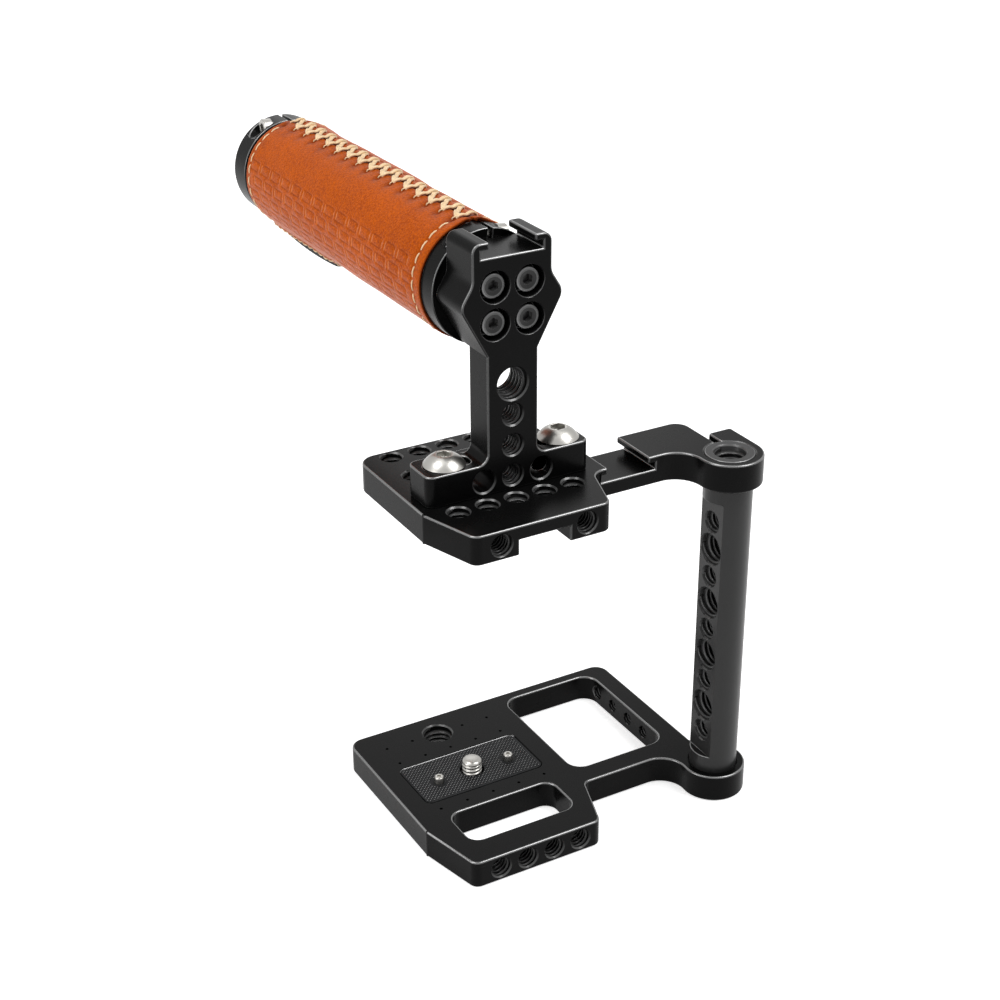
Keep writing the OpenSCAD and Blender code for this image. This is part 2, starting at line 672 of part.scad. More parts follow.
// A split ring of width w with its slit at the top, and a screw across it with its head on one
// side, seated at a distance of at from the slit
module clamp_collar(w, side, at) difference() {
    cylinder(r = collar_r, h = w);
    translate([0, 0, -over]) cylinder(r = collar_bore_r, h = w + 2 * over);
    translate([-collar_slit_w / 2, -collar_r - over, -over])
        cube([collar_slit_w, collar_r + over, w + 2 * over]);
    translate([side * at, -collar_screw_rise, w / 2]) rotate([0, side * 90, 0]) {
        cylinder(r = collar_recess_r, h = collar_r);
        translate([0, 0, -at - collar_screw_reach - tip])
            cylinder(r = m3_r + fit, h = at + collar_screw_reach + tip + over);
    }
}
module collar_screw(w, side, at) color([0.82, 0.81, 0.78])
    translate([side * (at + screw_gap), -collar_screw_rise, w / 2]) rotate([0, side * 90, 0])
        cap_screw(m3_r, at + collar_screw_reach, m3_head_r, m3_head_h, m3_key);

module near_collar() color([0.12, 0.12, 0.12]) in_frame() on_handle(collar_front) union() {
    rotate([0, 0, near_collar_turn]) clamp_collar(near_collar_w, 1, near_head_at);
    rotate([0, 0, -near_stud_turn]) translate([0, -collar_r, near_collar_w / 2]) rotate([90, 0, 0])
        rotate_extrude() polygon([[0, -sink], [stud_r, -sink], [stud_r, stud_rise - tip],
                                  [stud_r - tip, stud_rise], [0, stud_rise]]);
}
module far_collar() color([0.12, 0.12, 0.12]) in_frame() on_handle(grip_back)
    rotate([0, 0, far_collar_turn]) clamp_collar(far_collar_w, -1, far_head_at);
module near_collar_screw() in_frame() on_handle(collar_front)
    rotate([0, 0, near_collar_turn]) collar_screw(near_collar_w, 1, near_head_at);
module far_collar_screw() in_frame() on_handle(grip_back)
    rotate([0, 0, far_collar_turn]) collar_screw(far_collar_w, -1, far_head_at);

// The pocket or opening for the rail, edge wider than it all round, from depth z outwards
module rail_space(edge, z) translate([0, z, rail_mid]) rotate([-90, 0, 0])
    plate(box_outline([-rail_w / 2 - edge, -rail_l / 2 - edge], [rail_w / 2 + edge, rail_l / 2 + edge],
                      rail_corner_r), leather_d);

module grip_core() color([0.2, 0.2, 0.2]) in_frame() on_handle(grip_front) difference() {
    cylinder(r = core_r, h = grip_l + grip_bare);
    translate([0, 0, -over]) cylinder(r = core_bore_r, h = grip_l + grip_bare + 2 * over);
    rail_space(seat, rail_seat);
    for (z = [-1, 1]) translate([0, 0, rail_mid + z * rail_screw_spacing / 2]) rotate([-90, 0, 0])
        cylinder(r = m3_r + fit, h = core_r);
}

module leather_sleeve() color([0.72, 0.32, 0.1]) in_frame() on_handle(grip_front) difference() {
    translate([0, 0, seat]) cylinder(r = leather_r, h = grip_l - 2 * seat);
    translate([0, 0, -over]) cylinder(r = core_r + seat, h = grip_l + 2 * over);
    translate([-seam_w / 2, -leather_d, -over]) cube([seam_w, leather_d, grip_l + 2 * over]);
    rail_space(opening_edge, 0);
}

// One thread of the lacing: it crosses the seam from side to side over half a stitch
lace_pitch = (grip_l - 2 * lace_end_gap) / lace_count;
lace_r = lace_d / 2;
function lace_at(a, lift, z) = let (r = leather_r + lace_r + lift) [r * sin(a), -r * cos(a), z];
module lace_bead(a, lift, z) translate(lace_at(a, lift, z)) sphere(r = lace_r, $fn = 8);
module lace_stitch(side, z) for (end = [-1, 1]) hull() {
    lace_bead(side * end * lace_turn, lace_lift, z + (end + 1) / 2 * lace_pitch);
    lace_bead(0, lace_crown + (side + 1) / 2 * lace_d, z + lace_pitch / 2);
}

module lacing() color([0.9, 0.78, 0.58]) in_frame() on_handle(grip_front)
    for (i = [0:lace_count - 1], side = [-1, 1]) lace_stitch(side, lace_end_gap + i * lace_pitch);

module accessory_rail() color([0.1, 0.1, 0.1]) in_frame() on_handle(grip_front) difference() {
    intersection() {
        rail_space(0, rail_seat);
        translate([-rail_w, 0, 0]) cube([2 * rail_w, rail_face, grip_l]);
    }
    for (z = [-1, 1]) {
        translate([0, rail_face, rail_mid + z * rail_screw_spacing / 2]) rotate([-90, 0, 0])
            rotate_extrude() polygon([[0, -rail_face], [m3_r + fit, -rail_face],
                [m3_r + fit, -m3_head_r + m3_r - 2 * seat], [m3_head_r + 2 * seat, 0],
                [m3_head_r + 2 * seat, over],
                [0, over]]);
        translate([0, rail_face, rail_mid + z * hole_pitch / 2]) rotate([-90, 0, 0])
            through_bore(quarter_r, rail_face - rail_seat);
    }
}

module rail_screws() color([0.7, 0.7, 0.7]) in_frame() on_handle(grip_front)
    for (z = [-1, 1]) translate([0, rail_face, rail_mid + z * rail_screw_spacing / 2])
        rotate([-90, 0, 0]) difference() {
            rotate_extrude() polygon([[0, -rail_screw_l], [m3_r, -rail_screw_l],
                [m3_r, -m3_head_r + m3_r - seat], [m3_head_r, -seat], [0, -seat]]);
            translate([0, 0, -seat]) hex_socket(m3_key, key_depth);
        }

base_plate();
grip_pad();
camera_screw();
locating_pin_left();
locating_pin_right();
side_rod();
rod_base_screw();
top_plate();
rod_clamp_screw();
handle_post();
post_screw_left();
post_screw_right();
head_screws();
handle_bar();
near_collar();
far_collar();
near_collar_screw();
far_collar_screw();
grip_core();
leather_sleeve();
lacing();
accessory_rail();
rail_screws();
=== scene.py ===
# %% [markdown]
# A camera cage is a frame of machined plates that a camera sits inside. This lesson dresses one:
# a slotted base plate, a side rod with a flat, a top plate clamped to the rod, and a post that
# carries a handle wrapped in laced leather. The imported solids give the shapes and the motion, so
# the work here is edges, threads, leather, stitches and light. We start by loading that model.

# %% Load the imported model
import json

import bmesh
import bpy
import numpy as np
from mathutils import Matrix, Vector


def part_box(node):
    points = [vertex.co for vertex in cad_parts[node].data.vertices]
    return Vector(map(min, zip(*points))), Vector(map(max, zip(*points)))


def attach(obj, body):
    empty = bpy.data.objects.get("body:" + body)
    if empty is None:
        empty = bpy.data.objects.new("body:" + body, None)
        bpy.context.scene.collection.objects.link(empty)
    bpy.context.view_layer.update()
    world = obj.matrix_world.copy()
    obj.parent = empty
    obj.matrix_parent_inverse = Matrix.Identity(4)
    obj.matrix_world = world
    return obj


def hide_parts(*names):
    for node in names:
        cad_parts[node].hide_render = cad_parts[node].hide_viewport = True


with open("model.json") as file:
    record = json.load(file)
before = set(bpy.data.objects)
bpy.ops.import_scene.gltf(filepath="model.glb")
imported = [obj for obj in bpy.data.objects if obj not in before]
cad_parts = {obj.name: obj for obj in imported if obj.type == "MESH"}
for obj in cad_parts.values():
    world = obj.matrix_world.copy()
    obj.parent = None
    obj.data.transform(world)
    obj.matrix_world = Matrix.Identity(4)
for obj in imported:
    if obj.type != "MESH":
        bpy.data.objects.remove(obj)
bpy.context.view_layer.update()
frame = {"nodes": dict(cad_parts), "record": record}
MM = 0.001

# %% [markdown]
# Every place on the cage is easiest to say from the axis of the side rod, at the top face of the
# base plate, because that is how the drawing of such a cage is dimensioned. One function turns
# such a place, in millimetres, into the model's own metres.

# %% Places from the rod's axis
rod_low, rod_high = (np.array(c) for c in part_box("side_rod"))
pocket_low, pocket_high = (np.array(c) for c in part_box("grip_pad"))
ROD = np.array([(rod_low[0] + rod_high[0]) / 2, (rod_low[1] + rod_high[1]) / 2, pocket_high[2]])


def at(points):
    """Places in millimetres from the rod's axis, as metres in the model's frame: origin + p / 1000."""
    return ROD + np.asarray(points, float) * MM


PITCH = 9.25  # from one tapped hole of a row to the next
QUARTER_R, LARGE_R, SMALL_R = 3.175, 4.76, 2.0  # walls of the three sizes of tapped hole
COLUMN_X = -69.5  # middle of the base plate and the top plate
PLATE = 9.0  # thickness of both
BASE_FRONT, BASE_BACK = -9.4, 67.2
BACK_ROW = BASE_BACK - 9.7
PIN_X, PIN_Y, SCREW_Y = 12.5, 32.7, 33.9
TOP, TOP_FRONT = 109.0, -10.3
TOP_ROWS = (5.6, 32.8, 46.9)
POST_X, POST_FRONT = -67.8, 10.4
POST_DEPTH, FOOT_DEPTH = 10.4, 12.8
HANDLE_Z = TOP + 55.8
HANDLE_END = (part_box("handle_bar")[1][1] - ROD[1]) / MM
GRIP_FRONT, GRIP_BACK = 32.0, 154.2
LEATHER_R, LEATHER_T = 17.4, 1.3
RAIL_Y, RAIL_L, RAIL_W, RAIL_FACE = GRIP_FRONT + 95.7, 40.0, 14.0, 19.1
print("rod axis at", np.round(ROD, 4))

# %% [markdown]
# The camera stands left of the cage, above it, and looks down along the handle. Its place was
# found by fitting a pinhole camera to straight edges of known direction, which gives the lens in
# pixels of a 1000 pixel frame. A camera object looks along its own -Z with +Y up, so its matrix
# has the image's right, the image's up and the reversed view direction as columns.

# %% The camera
FOCAL_PX, FRAME_PX, SENSOR = 1819.57, 1000.0, 36.0
PITCH_DOWN, AZIMUTH, ROLL = 0.462576, 0.515872, 0.0051004
EYE = at([-298.784, -389.338, 335.787])


def view_axes(pitch, azimuth, roll):
    """Image right, image down and forward: a turn about Z, then a nod down, then a roll."""
    forward = np.array([np.sin(azimuth) * np.cos(pitch), np.cos(azimuth) * np.cos(pitch), -np.sin(pitch)])
    right = np.array([np.cos(azimuth), -np.sin(azimuth), 0.0])
    down = np.cross(forward, right)
    return np.cos(roll) * right + np.sin(roll) * down, np.cos(roll) * down - np.sin(roll) * right, forward


right, down, forward = view_axes(PITCH_DOWN, AZIMUTH, ROLL)
lens = bpy.data.cameras.new("view")
lens.sensor_width = SENSOR
lens.lens = FOCAL_PX * SENSOR / FRAME_PX
lens.clip_start, lens.clip_end = 0.01, 20.0
camera = bpy.data.objects.new("view", lens)
camera.matrix_world = Matrix(
    [[right[i], -down[i], -forward[i], EYE[i]] for i in range(3)] + [[0.0, 0.0, 0.0, 1.0]]
)
bpy.context.scene.collection.objects.link(camera)
bpy.context.scene.camera = camera
bpy.context.scene.view_settings.view_transform = "Standard"
print("lens %.1f mm" % lens.lens)

# %% [markdown]
# Shader maths reads best as plain expressions. The class below wraps one output socket of a material's node
# tree, and each operator adds the Math node that does it, so the painted highlight on the tip of a rubber
# bump can be written as (height - face) * slope. Any other node comes from one method of the recipe class.

# %% Sockets that can be added and multiplied


class Value:
    """One socket of a node tree, whose operators + - * add Math nodes."""

    def __init__(self, recipe, socket):
        self.recipe, self.socket = recipe, socket

    def maths(self, operation, first, second):
        return self.recipe.node("ShaderNodeMath", {"operation": operation}, {0: first, 1: second})

    def __add__(self, other):
        return self.maths("ADD", self, other)

    def __sub__(self, other):
        return self.maths("SUBTRACT", self, other)

    def __rsub__(self, other):
        return self.maths("SUBTRACT", other, self)

    def __mul__(self, other):
        return self.maths("MULTIPLY", self, other)

    __radd__, __rmul__ = __add__, __mul__

    def clipped(self):
        """The value held between 0 and 1."""
        return self.recipe.node("ShaderNodeClamp", {}, {"Value": self})


MIX_LOW, MIX_HIGH, MIX_RESULT = 6, 7, 2  # a Mix node's colour sockets


class Recipe:
    """A material under construction: its tree, its Principled shader and a node maker."""

    def __init__(self, name, **constants):
        self.material = bpy.data.materials.new(name)
        self.material.use_nodes = True
        self.tree = self.material.node_tree
        self.shader = self.tree.nodes["Principled BSDF"]
        for socket, number in constants.items():
            self.shader.inputs[socket.replace("_", " ")].default_value = number

    def node(self, kind, settings, inputs, output=0):
        """Adds a node: its settings first, then numbers or links for its sockets."""
        made = self.tree.nodes.new(kind)
        for key, setting in settings.items():
            setattr(made, key, setting)
        for key, given in inputs.items():
            if isinstance(given, Value):
                self.tree.links.new(given.socket, made.inputs[key])
            else:
                made.inputs[key].default_value = given
        return Value(self, made.outputs[output])

    def place(self):
        """Object coordinates, in metres."""
        return self.node("ShaderNodeTexCoord", {}, {}, "Object")

    def noise(self, size_mm, detail=2.0, rough=0.5):
        """Smooth noise whose patches are about size_mm across."""
        return self.node("ShaderNodeTexNoise", {},
                         {"Vector": self.place(), "Scale": 1.0 / (size_mm * MM), "Detail": detail,
                          "Roughness": rough}, "Fac")

    def attribute(self, name):
        """The number that a mesh carries under a name."""
        return self.node("ShaderNodeAttribute", {"attribute_name": name}, {}, "Fac")

    def blend(self, factor, low, high):
        """A colour between low, which may be a blend itself, and high."""
        low = low if isinstance(low, Value) else (*low, 1.0)
        return self.node("ShaderNodeMix", {"data_type": "RGBA"},
                         {"Factor": factor, MIX_LOW: low, MIX_HIGH: (*high, 1.0)}, MIX_RESULT)

    def bump(self, height, strength, depth_mm):
        """A normal from a height field, given its depth at full strength."""
        return self.node("ShaderNodeBump", {}, {"Height": height, "Strength": strength,
                                                "Distance": depth_mm * MM}, "Normal")

    def feed(self, **sockets):
        """Links values to the shader's sockets."""
        for name, given in sockets.items():
            self.tree.links.new(given.socket, self.shader.inputs[name.replace("_", " ")])
        return self.material


print("recipes ready")

# %% [markdown]
# Anodised aluminium is a thin dyed glass-hard layer over bead-blasted metal. It is almost black and it
# reflects weakly. A dark base, a low sheen and two sizes of fine noise make the flat faces. The bevels made
# further down carry a number called edge, which paints a highlight on them by turning the surface into light
# metal.

# %% Black anodised metal and steel


def anodised(name, dark, light, rough, sheen, highlight_reflectance):
    """Black dyed aluminium: from dark to light over slow noise, blasted by fine bump, and a painted
    highlight, metal of reflectance highlight_reflectance, where the edge number is 1."""
    r = Recipe(name, Specular_IOR_Level=sheen)
    slow = r.noise(9.0, 3.0)
    fine = r.noise(0.22)
    edge = r.attribute("edge")
    base = r.blend((slow * 0.6 + fine * 0.4).clipped(), (dark,) * 3, (light,) * 3)
    # the edge number paints a highlight on rounded edges: there the surface turns to light metal
    base = r.blend(edge, base, (highlight_reflectance,) * 3)
    return r.feed(Base_Color=base, Metallic=edge, Roughness=slow * 0.10 + (rough - 0.05),
                  Normal=r.bump(fine, 0.15, 0.015))


def machined_steel(name, colour, rough):
    """Turned steel: fine marks make its roughness uneven, and slow patches darken it by a fifth."""
    r = Recipe(name, Metallic=1.0)
    marks = r.noise(0.35, 4.0)
    patches = r.noise(2.5)
    base = r.blend(patches.clipped(), tuple(0.82 * c for c in colour), colour)
    return r.feed(Base_Color=base, Roughness=marks * 0.16 + (rough - 0.06),
                  Normal=r.bump(marks, 0.05, 0.01))


BLACK = anodised("black_aluminium", dark=0.002, light=0.005, rough=0.27, sheen=0.055, highlight_reflectance=0.20)
ROD_BLACK = anodised("rod_aluminium", dark=0.017, light=0.026, rough=0.33, sheen=0.22, highlight_reflectance=0.20)
DARK_STEEL = anodised("black_steel", dark=0.006, light=0.012, rough=0.25, sheen=0.20, highlight_reflectance=0.36)
STEEL = machined_steel("bright_steel", (0.44, 0.43, 0.405), 0.30)
BARE = machined_steel("bare_aluminium", (0.42, 0.42, 0.43), 0.34)
print("metals ready")

# %% [markdown]
# Every new piece joins the model in the same way. One function puts its mesh in the scene with a material,
# rides it on a body and hides the imported nodes that it stands for.
# Two more read and write whole properties of a mesh as arrays.

# %% Pieces and their properties
BODY_OF = {node: body for body, nodes in frame["record"]["behaviour"]["bodies"].items() for node in nodes}


def keep(name, mesh, material, body, replaced=()):
    """Puts a mesh in the scene with a material, rides it on a body and hides the imported nodes that it
    replaces.
    """
    piece = bpy.data.objects.new(name, mesh)
    bpy.context.scene.collection.objects.link(piece)
    mesh.materials.clear()
    mesh.materials.append(material)
    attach(piece, body)
    if replaced:
        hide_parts(*replaced)
    return piece


def read(items, key, columns=1, kind=float):
    """One property of every vertex, edge, face or corner, as an array with a row for each."""
    array = np.empty(len(items) * columns, kind)
    items.foreach_get(key, array)
    return array.reshape(-1, columns) if columns > 1 else array


def mark(mesh, name, domain, numbers):
    """Gives every POINT, EDGE or FACE of a mesh its number, under a name that a material can read."""
    field = mesh.attributes.new(name, "FLOAT", domain)
    field.data.foreach_set("value", np.asarray(numbers, np.float32).ravel())


# %% [markdown]
# A machined edge is never a knife edge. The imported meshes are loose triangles, so a copy is
# merged, its flat faces are joined up, and a Bevel modifier rounds the square corners. The
# modifier rounds an edge by its weight, and the weight comes from the angle between its faces.

# %% The corners to round
CORNER_DEG, SMOOTH_DEG, FLAT_DEG = 50.0, 28.0, 0.4
DOT_EDGE = 0.13  # edges shorter than this belong to drilled dots


def corner_weights(mesh):
    """One for each edge whose two faces meet at more than CORNER_DEG, and zero for the others and
    for the short edges of small drilled dots, which are too tight to round."""
    ends = read(mesh.edges, "vertices", 2, np.int32)
    places = read(mesh.vertices, "co", 3)
    long = np.linalg.norm(places[ends[:, 0]] - places[ends[:, 1]], axis=1) > DOT_EDGE * MM
    of_edge = read(mesh.loops, "edge_index", kind=np.int32)
    corners = read(mesh.polygons, "loop_total", kind=np.int32)
    order = np.argsort(of_edge, kind="stable")
    sorted_edge, sorted_face = of_edge[order], np.repeat(np.arange(len(corners)), corners)[order]
    first = np.searchsorted(sorted_edge, np.arange(len(mesh.edges)))
    last = np.searchsorted(sorted_edge, np.arange(len(mesh.edges)), side="right") - 1
    normals = read(mesh.polygons, "normal", 3)
    cosine = (normals[sorted_face[first]] * normals[sorted_face[last]]).sum(1)
    return long & (cosine < np.cos(np.radians(CORNER_DEG)))


print("corners above", CORNER_DEG, "degrees are rounded")

# %% [markdown]
# The narrow faces of a bevel catch the light as the thin bright lines that make metal look machined. Here
# those lines are a painted highlight. The modifier is applied, and each bevel face, and each small cone in
# the mouth of a tapped hole, gets the edge number that the black material reads, highest where the edge faces
# up.

# %% Painted edge highlights
CONE_AREA, CONE_NORMAL = 0.6, 0.707  # a cone's small faces lean at 45 degrees
# how much painted highlight the bevels and the cones of tapped holes get
LEVEL_HIGHLIGHT, LEAST_HIGHLIGHT, CONE_HIGHLIGHT = 0.35, 0.06, 0.5
SQUARE = 0.99999


def edges_marked(piece):
    """Makes the bevels real and puts the edge number, a painted highlight, on each face. On a bevel it is
    LEVEL_HIGHLIGHT plus the upward part of its normal, at least LEAST_HIGHLIGHT and at most 1, and on a cone
    it is CONE_HIGHLIGHT of that. Of the pad's pocket only the far rim has it. Faces square to an axis get
    their own normal at every corner, which keeps large flats free of shading marks."""
    piece.data.materials.append(piece.data.materials[0])
    bpy.context.view_layer.update()
    mesh = bpy.data.meshes.new_from_object(piece.evaluated_get(bpy.context.evaluated_depsgraph_get()))
    bevel = read(mesh.polygons, "material_index", kind=np.int32) == 1
    normals, centres = read(mesh.polygons, "normal", 3), read(mesh.polygons, "center", 3)
    leaning = (np.abs(np.abs(normals[:, 1:]) - CONE_NORMAL) < 0.02).any(1)
    cone = leaning & (read(mesh.polygons, "area") < CONE_AREA * MM ** 2)
    pocket = ((centres > pocket_low - MM) & (centres < pocket_high + MM)).all(1) & (normals[:, 1] > -0.3)
    # painted highlight, strongest on edges that face up
    share = np.clip(LEVEL_HIGHLIGHT + normals[:, 2], LEAST_HIGHLIGHT, 1.0) * np.where(bevel, 1.0, CONE_HIGHLIGHT)
    mark(mesh, "edge", "FACE", np.where((bevel | cone) & ~pocket, share, 0.0))
    mesh.polygons.foreach_set("material_index", np.zeros(len(bevel), np.int32))
    mesh.materials.pop()
    total = read(mesh.polygons, "loop_total", kind=np.int32)
    square = np.repeat(np.abs(normals).max(1) > SQUARE, total)
    corners = np.where(square[:, None], np.repeat(normals, total, axis=0),
                       read(mesh.corner_normals, "vector", 3))
    mesh.normals_split_custom_set(corners.tolist())
    piece.modifiers.clear()
    piece.data = mesh
    return piece


def rounded(piece, bevel_mm):
    """Bevels the square corners of a piece by bevel_mm in three steps."""
    mark(piece.data, "bevel_weight_edge", "EDGE", corner_weights(piece.data))
    edge = piece.modifiers.new("edges", "BEVEL")
    edge.width, edge.segments = bevel_mm * MM, 3
    edge.limit_method = "WEIGHT"
    edge.use_clamp_overlap, edge.loop_slide = False, False
    edge.harden_normals = True
    edge.material = 1
    return edges_marked(piece)


print("highlighted edges ready")

# %% [markdown]
# With these helpers a whole list of metal pieces takes one loop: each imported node, its finish and
# the size of its rounded edge.

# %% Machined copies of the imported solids


def merged(node, material):
    """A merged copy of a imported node, smooth over shallow angles, that rides on its body."""
    mesh = frame["nodes"][node].data.copy()
    mesh.name = node + "_machined"
    bm = bmesh.new()
    bm.from_mesh(mesh)
    bmesh.ops.remove_doubles(bm, verts=bm.verts, dist=1e-6)
    bmesh.ops.dissolve_limit(bm, angle_limit=np.radians(FLAT_DEG), verts=bm.verts, edges=bm.edges)
    bm.to_mesh(mesh)
    bm.free()
    mesh.polygons.foreach_set("use_smooth", np.ones(len(mesh.polygons), bool))
    mesh.set_sharp_from_angle(angle=np.radians(SMOOTH_DEG))
    return keep(node + "_machined", mesh, material, BODY_OF[node], (node,))


METAL = {"base_plate": (BLACK, 0.5), "top_plate": (BLACK, 0.5), "handle_post": (BLACK, 0.5),
         "side_rod": (ROD_BLACK, 0.25), "near_collar": (BLACK, 0.3), "far_collar": (BLACK, 0.3),
         "handle_bar": (BARE, 0.3),
         "post_screw_left": (STEEL, 0.15), "post_screw_right": (STEEL, 0.15),
         "near_collar_screw": (STEEL, 0.15), "far_collar_screw": (STEEL, 0.15),
         "rod_base_screw": (DARK_STEEL, 0.1), "rod_clamp_screw": (DARK_STEEL, 0.15),
         "rail_screws": (DARK_STEEL, 0.1)}
for node, (material, width) in METAL.items():
    made = rounded(merged(node, material), width)
    print(node, len(made.data.polygons), "faces")

# %% [markdown]
# A tapped hole is a bore with a helical ridge standing inwards from its wall. The ridge is a
# small closed profile carried along a helix, so one function draws it for every hole, and the
# holes of one moving piece share one mesh. The ridge fades in and out at its ends, as a tap
# leaves it.

# %% Threads
TURN_STEPS = 28
BURIED = 0.06  # how far a ridge starts inside its wall
FOOT_SHARE, CREST_SHARE = 0.44, 0.07  # half widths of the ridge, as shares of the lead
LEAD_DEPTH = {QUARTER_R: (1.27, 0.60), LARGE_R: (1.5875, 0.78), SMALL_R: (0.8, 0.34)}
WELD = 1e-7


def frame_about(axis):
    """Two unit vectors square to axis, and the axis itself, as rows."""
    w = np.asarray(axis, float) / np.linalg.norm(axis)
    u = np.cross(w, [0.0, 0.0, 1.0] if abs(w[2]) < 0.9 else [1.0, 0.0, 0.0])
    u /= np.linalg.norm(u)
    return np.array([u, np.cross(w, u), w])


def circle(count):
    """Even angles round a circle."""
    return np.linspace(0, 2 * np.pi, count + 1)[:-1]


def closed_quads(rows, cols):
    """The quads of a grid of rows by cols points whose last column joins its first."""
    i, j = np.meshgrid(np.arange(rows - 1), np.arange(cols), indexing="ij")
    k = (j + 1) % cols
    return np.stack([i * cols + j, i * cols + k, (i + 1) * cols + k, (i + 1) * cols + j], -1).reshape(-1, 4)


def tapped(mouth, axis, wall_r, length, start=0.35):
    """The ridge of a tapped hole. Along the helix angle t, the height is start + lead * t / 2 pi
    below the mouth; across it a trapezium goes from the wall to the crest and back."""
    lead, depth = LEAD_DEPTH[wall_r]
    turns = max((length - 2 * start) / lead - 1.0, 0.5)
    steps = int(turns * TURN_STEPS) + 1
    t = np.linspace(0.0, turns * 2 * np.pi, steps)
    fade = np.clip(np.minimum(t, t[-1] - t) / (0.7 * np.pi), 0.06, 1.0)
    crest, wall = wall_r - depth * fade, np.full(steps, wall_r + BURIED)
    radius = np.stack([wall, crest, crest, wall], 1)
    along = lead * np.array([-FOOT_SHARE, -CREST_SHARE, CREST_SHARE, FOOT_SHARE])
    height = start + lead / 2 + lead * t[:, None] / (2 * np.pi) + along[None, :]
    u, v, w = frame_about(axis)
    spots = (np.asarray(mouth, float) + radius[..., None] * (np.cos(t)[:, None, None] * u
             + np.sin(t)[:, None, None] * v) - height[..., None] * w)
    caps = np.array([[3, 2, 1, 0], steps * 4 + np.array([-4, -3, -2, -1])])
    return at(spots.reshape(-1, 3)), np.concatenate([closed_quads(steps, 4), caps])


def joined(parts):
    """Several (points, quads) as one."""
    counts = np.cumsum([0] + [len(p) for p, _ in parts])
    return (np.concatenate([p for p, _ in parts]),
            np.concatenate([q + n for (_, q), n in zip(parts, counts)]))


def mesh_of(name, points, faces):
    """A smooth mesh from arrays of points and quads."""
    mesh = bpy.data.meshes.new(name)
    mesh.from_pydata(points.tolist(), [], faces.tolist())
    mesh.polygons.foreach_set("use_smooth", np.ones(len(mesh.polygons), bool))
    return mesh


def welded(mesh):
    """Merges a mesh's doubles, which closes its poles, and turns its faces outwards."""
    bm = bmesh.new()
    bm.from_mesh(mesh)
    bmesh.ops.remove_doubles(bm, verts=bm.verts, dist=WELD)
    bmesh.ops.recalc_face_normals(bm, faces=bm.faces)
    bm.to_mesh(mesh)
    bm.free()
    return mesh


print("thread leads", sorted(lead for lead, depth in LEAD_DEPTH.values()))

# %% [markdown]
# The holes sit in rows and columns one pitch apart. Each line below gives a mouth, the direction that the
# hole opens in, its size and its depth. The four strips of faces of each ridge carry edge numbers too, a
# painted highlight that is strongest on the crest.

# %% The tapped holes
ROD_FLAT, ROD_MIDDLE = -5.25, 50.0
SIDE_MOUTH = -7.0  # wall of the base's window, from the rod
OVER_CHANNEL, CHANNEL_HALF = 4.3, 9.0  # the top plate is thinner over its relief channel
# painted highlight on the thread ridges, strongest on the crest
CREST_SHEEN = [0.3, 1.0, 0.3, 0.0]
UP, DOWN, FRONT, BACK, LEFT = [0, 0, 1], [0, 0, -1], [0, -1, 0], [0, 1, 0], [-1, 0, 0]
columns = {n: [COLUMN_X + PITCH * (i - (n - 1) / 2) for i in range(n)] for n in (4, 5)}
base_holes = [tapped([x, BASE_FRONT, -PLATE / 2], FRONT, QUARTER_R, 9.9) for x in columns[4]]
base_holes += [tapped([COLUMN_X, BACK_ROW, 0], UP, LARGE_R, PLATE)]
base_holes += [tapped([SIDE_MOUTH, BACK_ROW - i * PITCH, -PLATE / 2], LEFT, SMALL_R, 7.0)
               for i in range(4)]
rod_holes = [tapped([ROD_FLAT, 0, ROD_MIDDLE + i * PITCH], LEFT, LARGE_R if i % 2 else QUARTER_R, 8.5)
             for i in range(-4, 5)]
rod_holes += [tapped([0, 0, TOP], UP, LARGE_R, 11.5)]
top_holes = [tapped([x, y, TOP], UP, QUARTER_R,
                    OVER_CHANNEL if abs(x - COLUMN_X) < CHANNEL_HALF else PLATE, 0.3)
             for x in columns[5] for y in TOP_ROWS]
top_holes += [tapped([COLUMN_X + s * 13.7, TOP_FRONT, TOP - PLATE / 2], FRONT, QUARTER_R, 9.0)
              for s in (-1, 1)]
post_holes = [tapped([POST_X, POST_FRONT, TOP + PLATE / 2 + i * PITCH], FRONT,
                     LARGE_R if i == 3 else QUARTER_R, FOOT_DEPTH if i == 0 else POST_DEPTH)
              for i in range(4)]
post_holes += [tapped([POST_X, HANDLE_END, HANDLE_Z], BACK, QUARTER_R, 9.6)]
rail_holes = [tapped([POST_X, RAIL_Y + s * PITCH / 2, HANDLE_Z - RAIL_FACE], DOWN, QUARTER_R, 6.5)
              for s in (-1, 1)]
for name, holes, body, slot, material in (
        ("base_threads", base_holes, "base", "black_aluminium", BLACK),
        ("rod_threads", rod_holes, "rod", "rod_aluminium", ROD_BLACK),
        ("top_threads", top_holes, "top", "black_aluminium", BLACK),
        ("post_threads", post_holes, "post", "black_aluminium", BLACK),
        ("rail_threads", rail_holes, "grip", "black_aluminium", BLACK)):
    threads = welded(mesh_of(name, *joined(holes)))
    mark(threads, "edge", "FACE", np.concatenate([np.resize(CREST_SHEEN, len(q)) for _, q in holes]))
    keep(name, threads, material, body)
    print(name, len(holes), "holes,", len(threads.polygons), "faces")

# %% [markdown]
# The locating pins and the four cap screws of the handle are small turned pieces with a six-sided hollow for
# a key. A lathe makes such a piece from a profile, and so does the function below: each row of the profile
# becomes a ring of points, and the last rings go down into the hollow. Every row of faces has its own edge
# number, which on the cap screws paints a highlight on the rims and in the key hollow and leaves the faces
# dark.

# %% Pins and cap screws
ROUND = 48
pin_foot, pin_top = ((corner[2] - ROD[2]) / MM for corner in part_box("locating_pin_left"))
PIN_R, SHOULDER_R, SHOULDER = 1.5, 1.9, -0.3
PIN = [(0, pin_foot), (SHOULDER_R, pin_foot), (SHOULDER_R, SHOULDER), (PIN_R, SHOULDER),
       (PIN_R, pin_top - 0.6), (1.42, pin_top - 0.25), (1.25, pin_top - 0.06), (1.0, pin_top)]


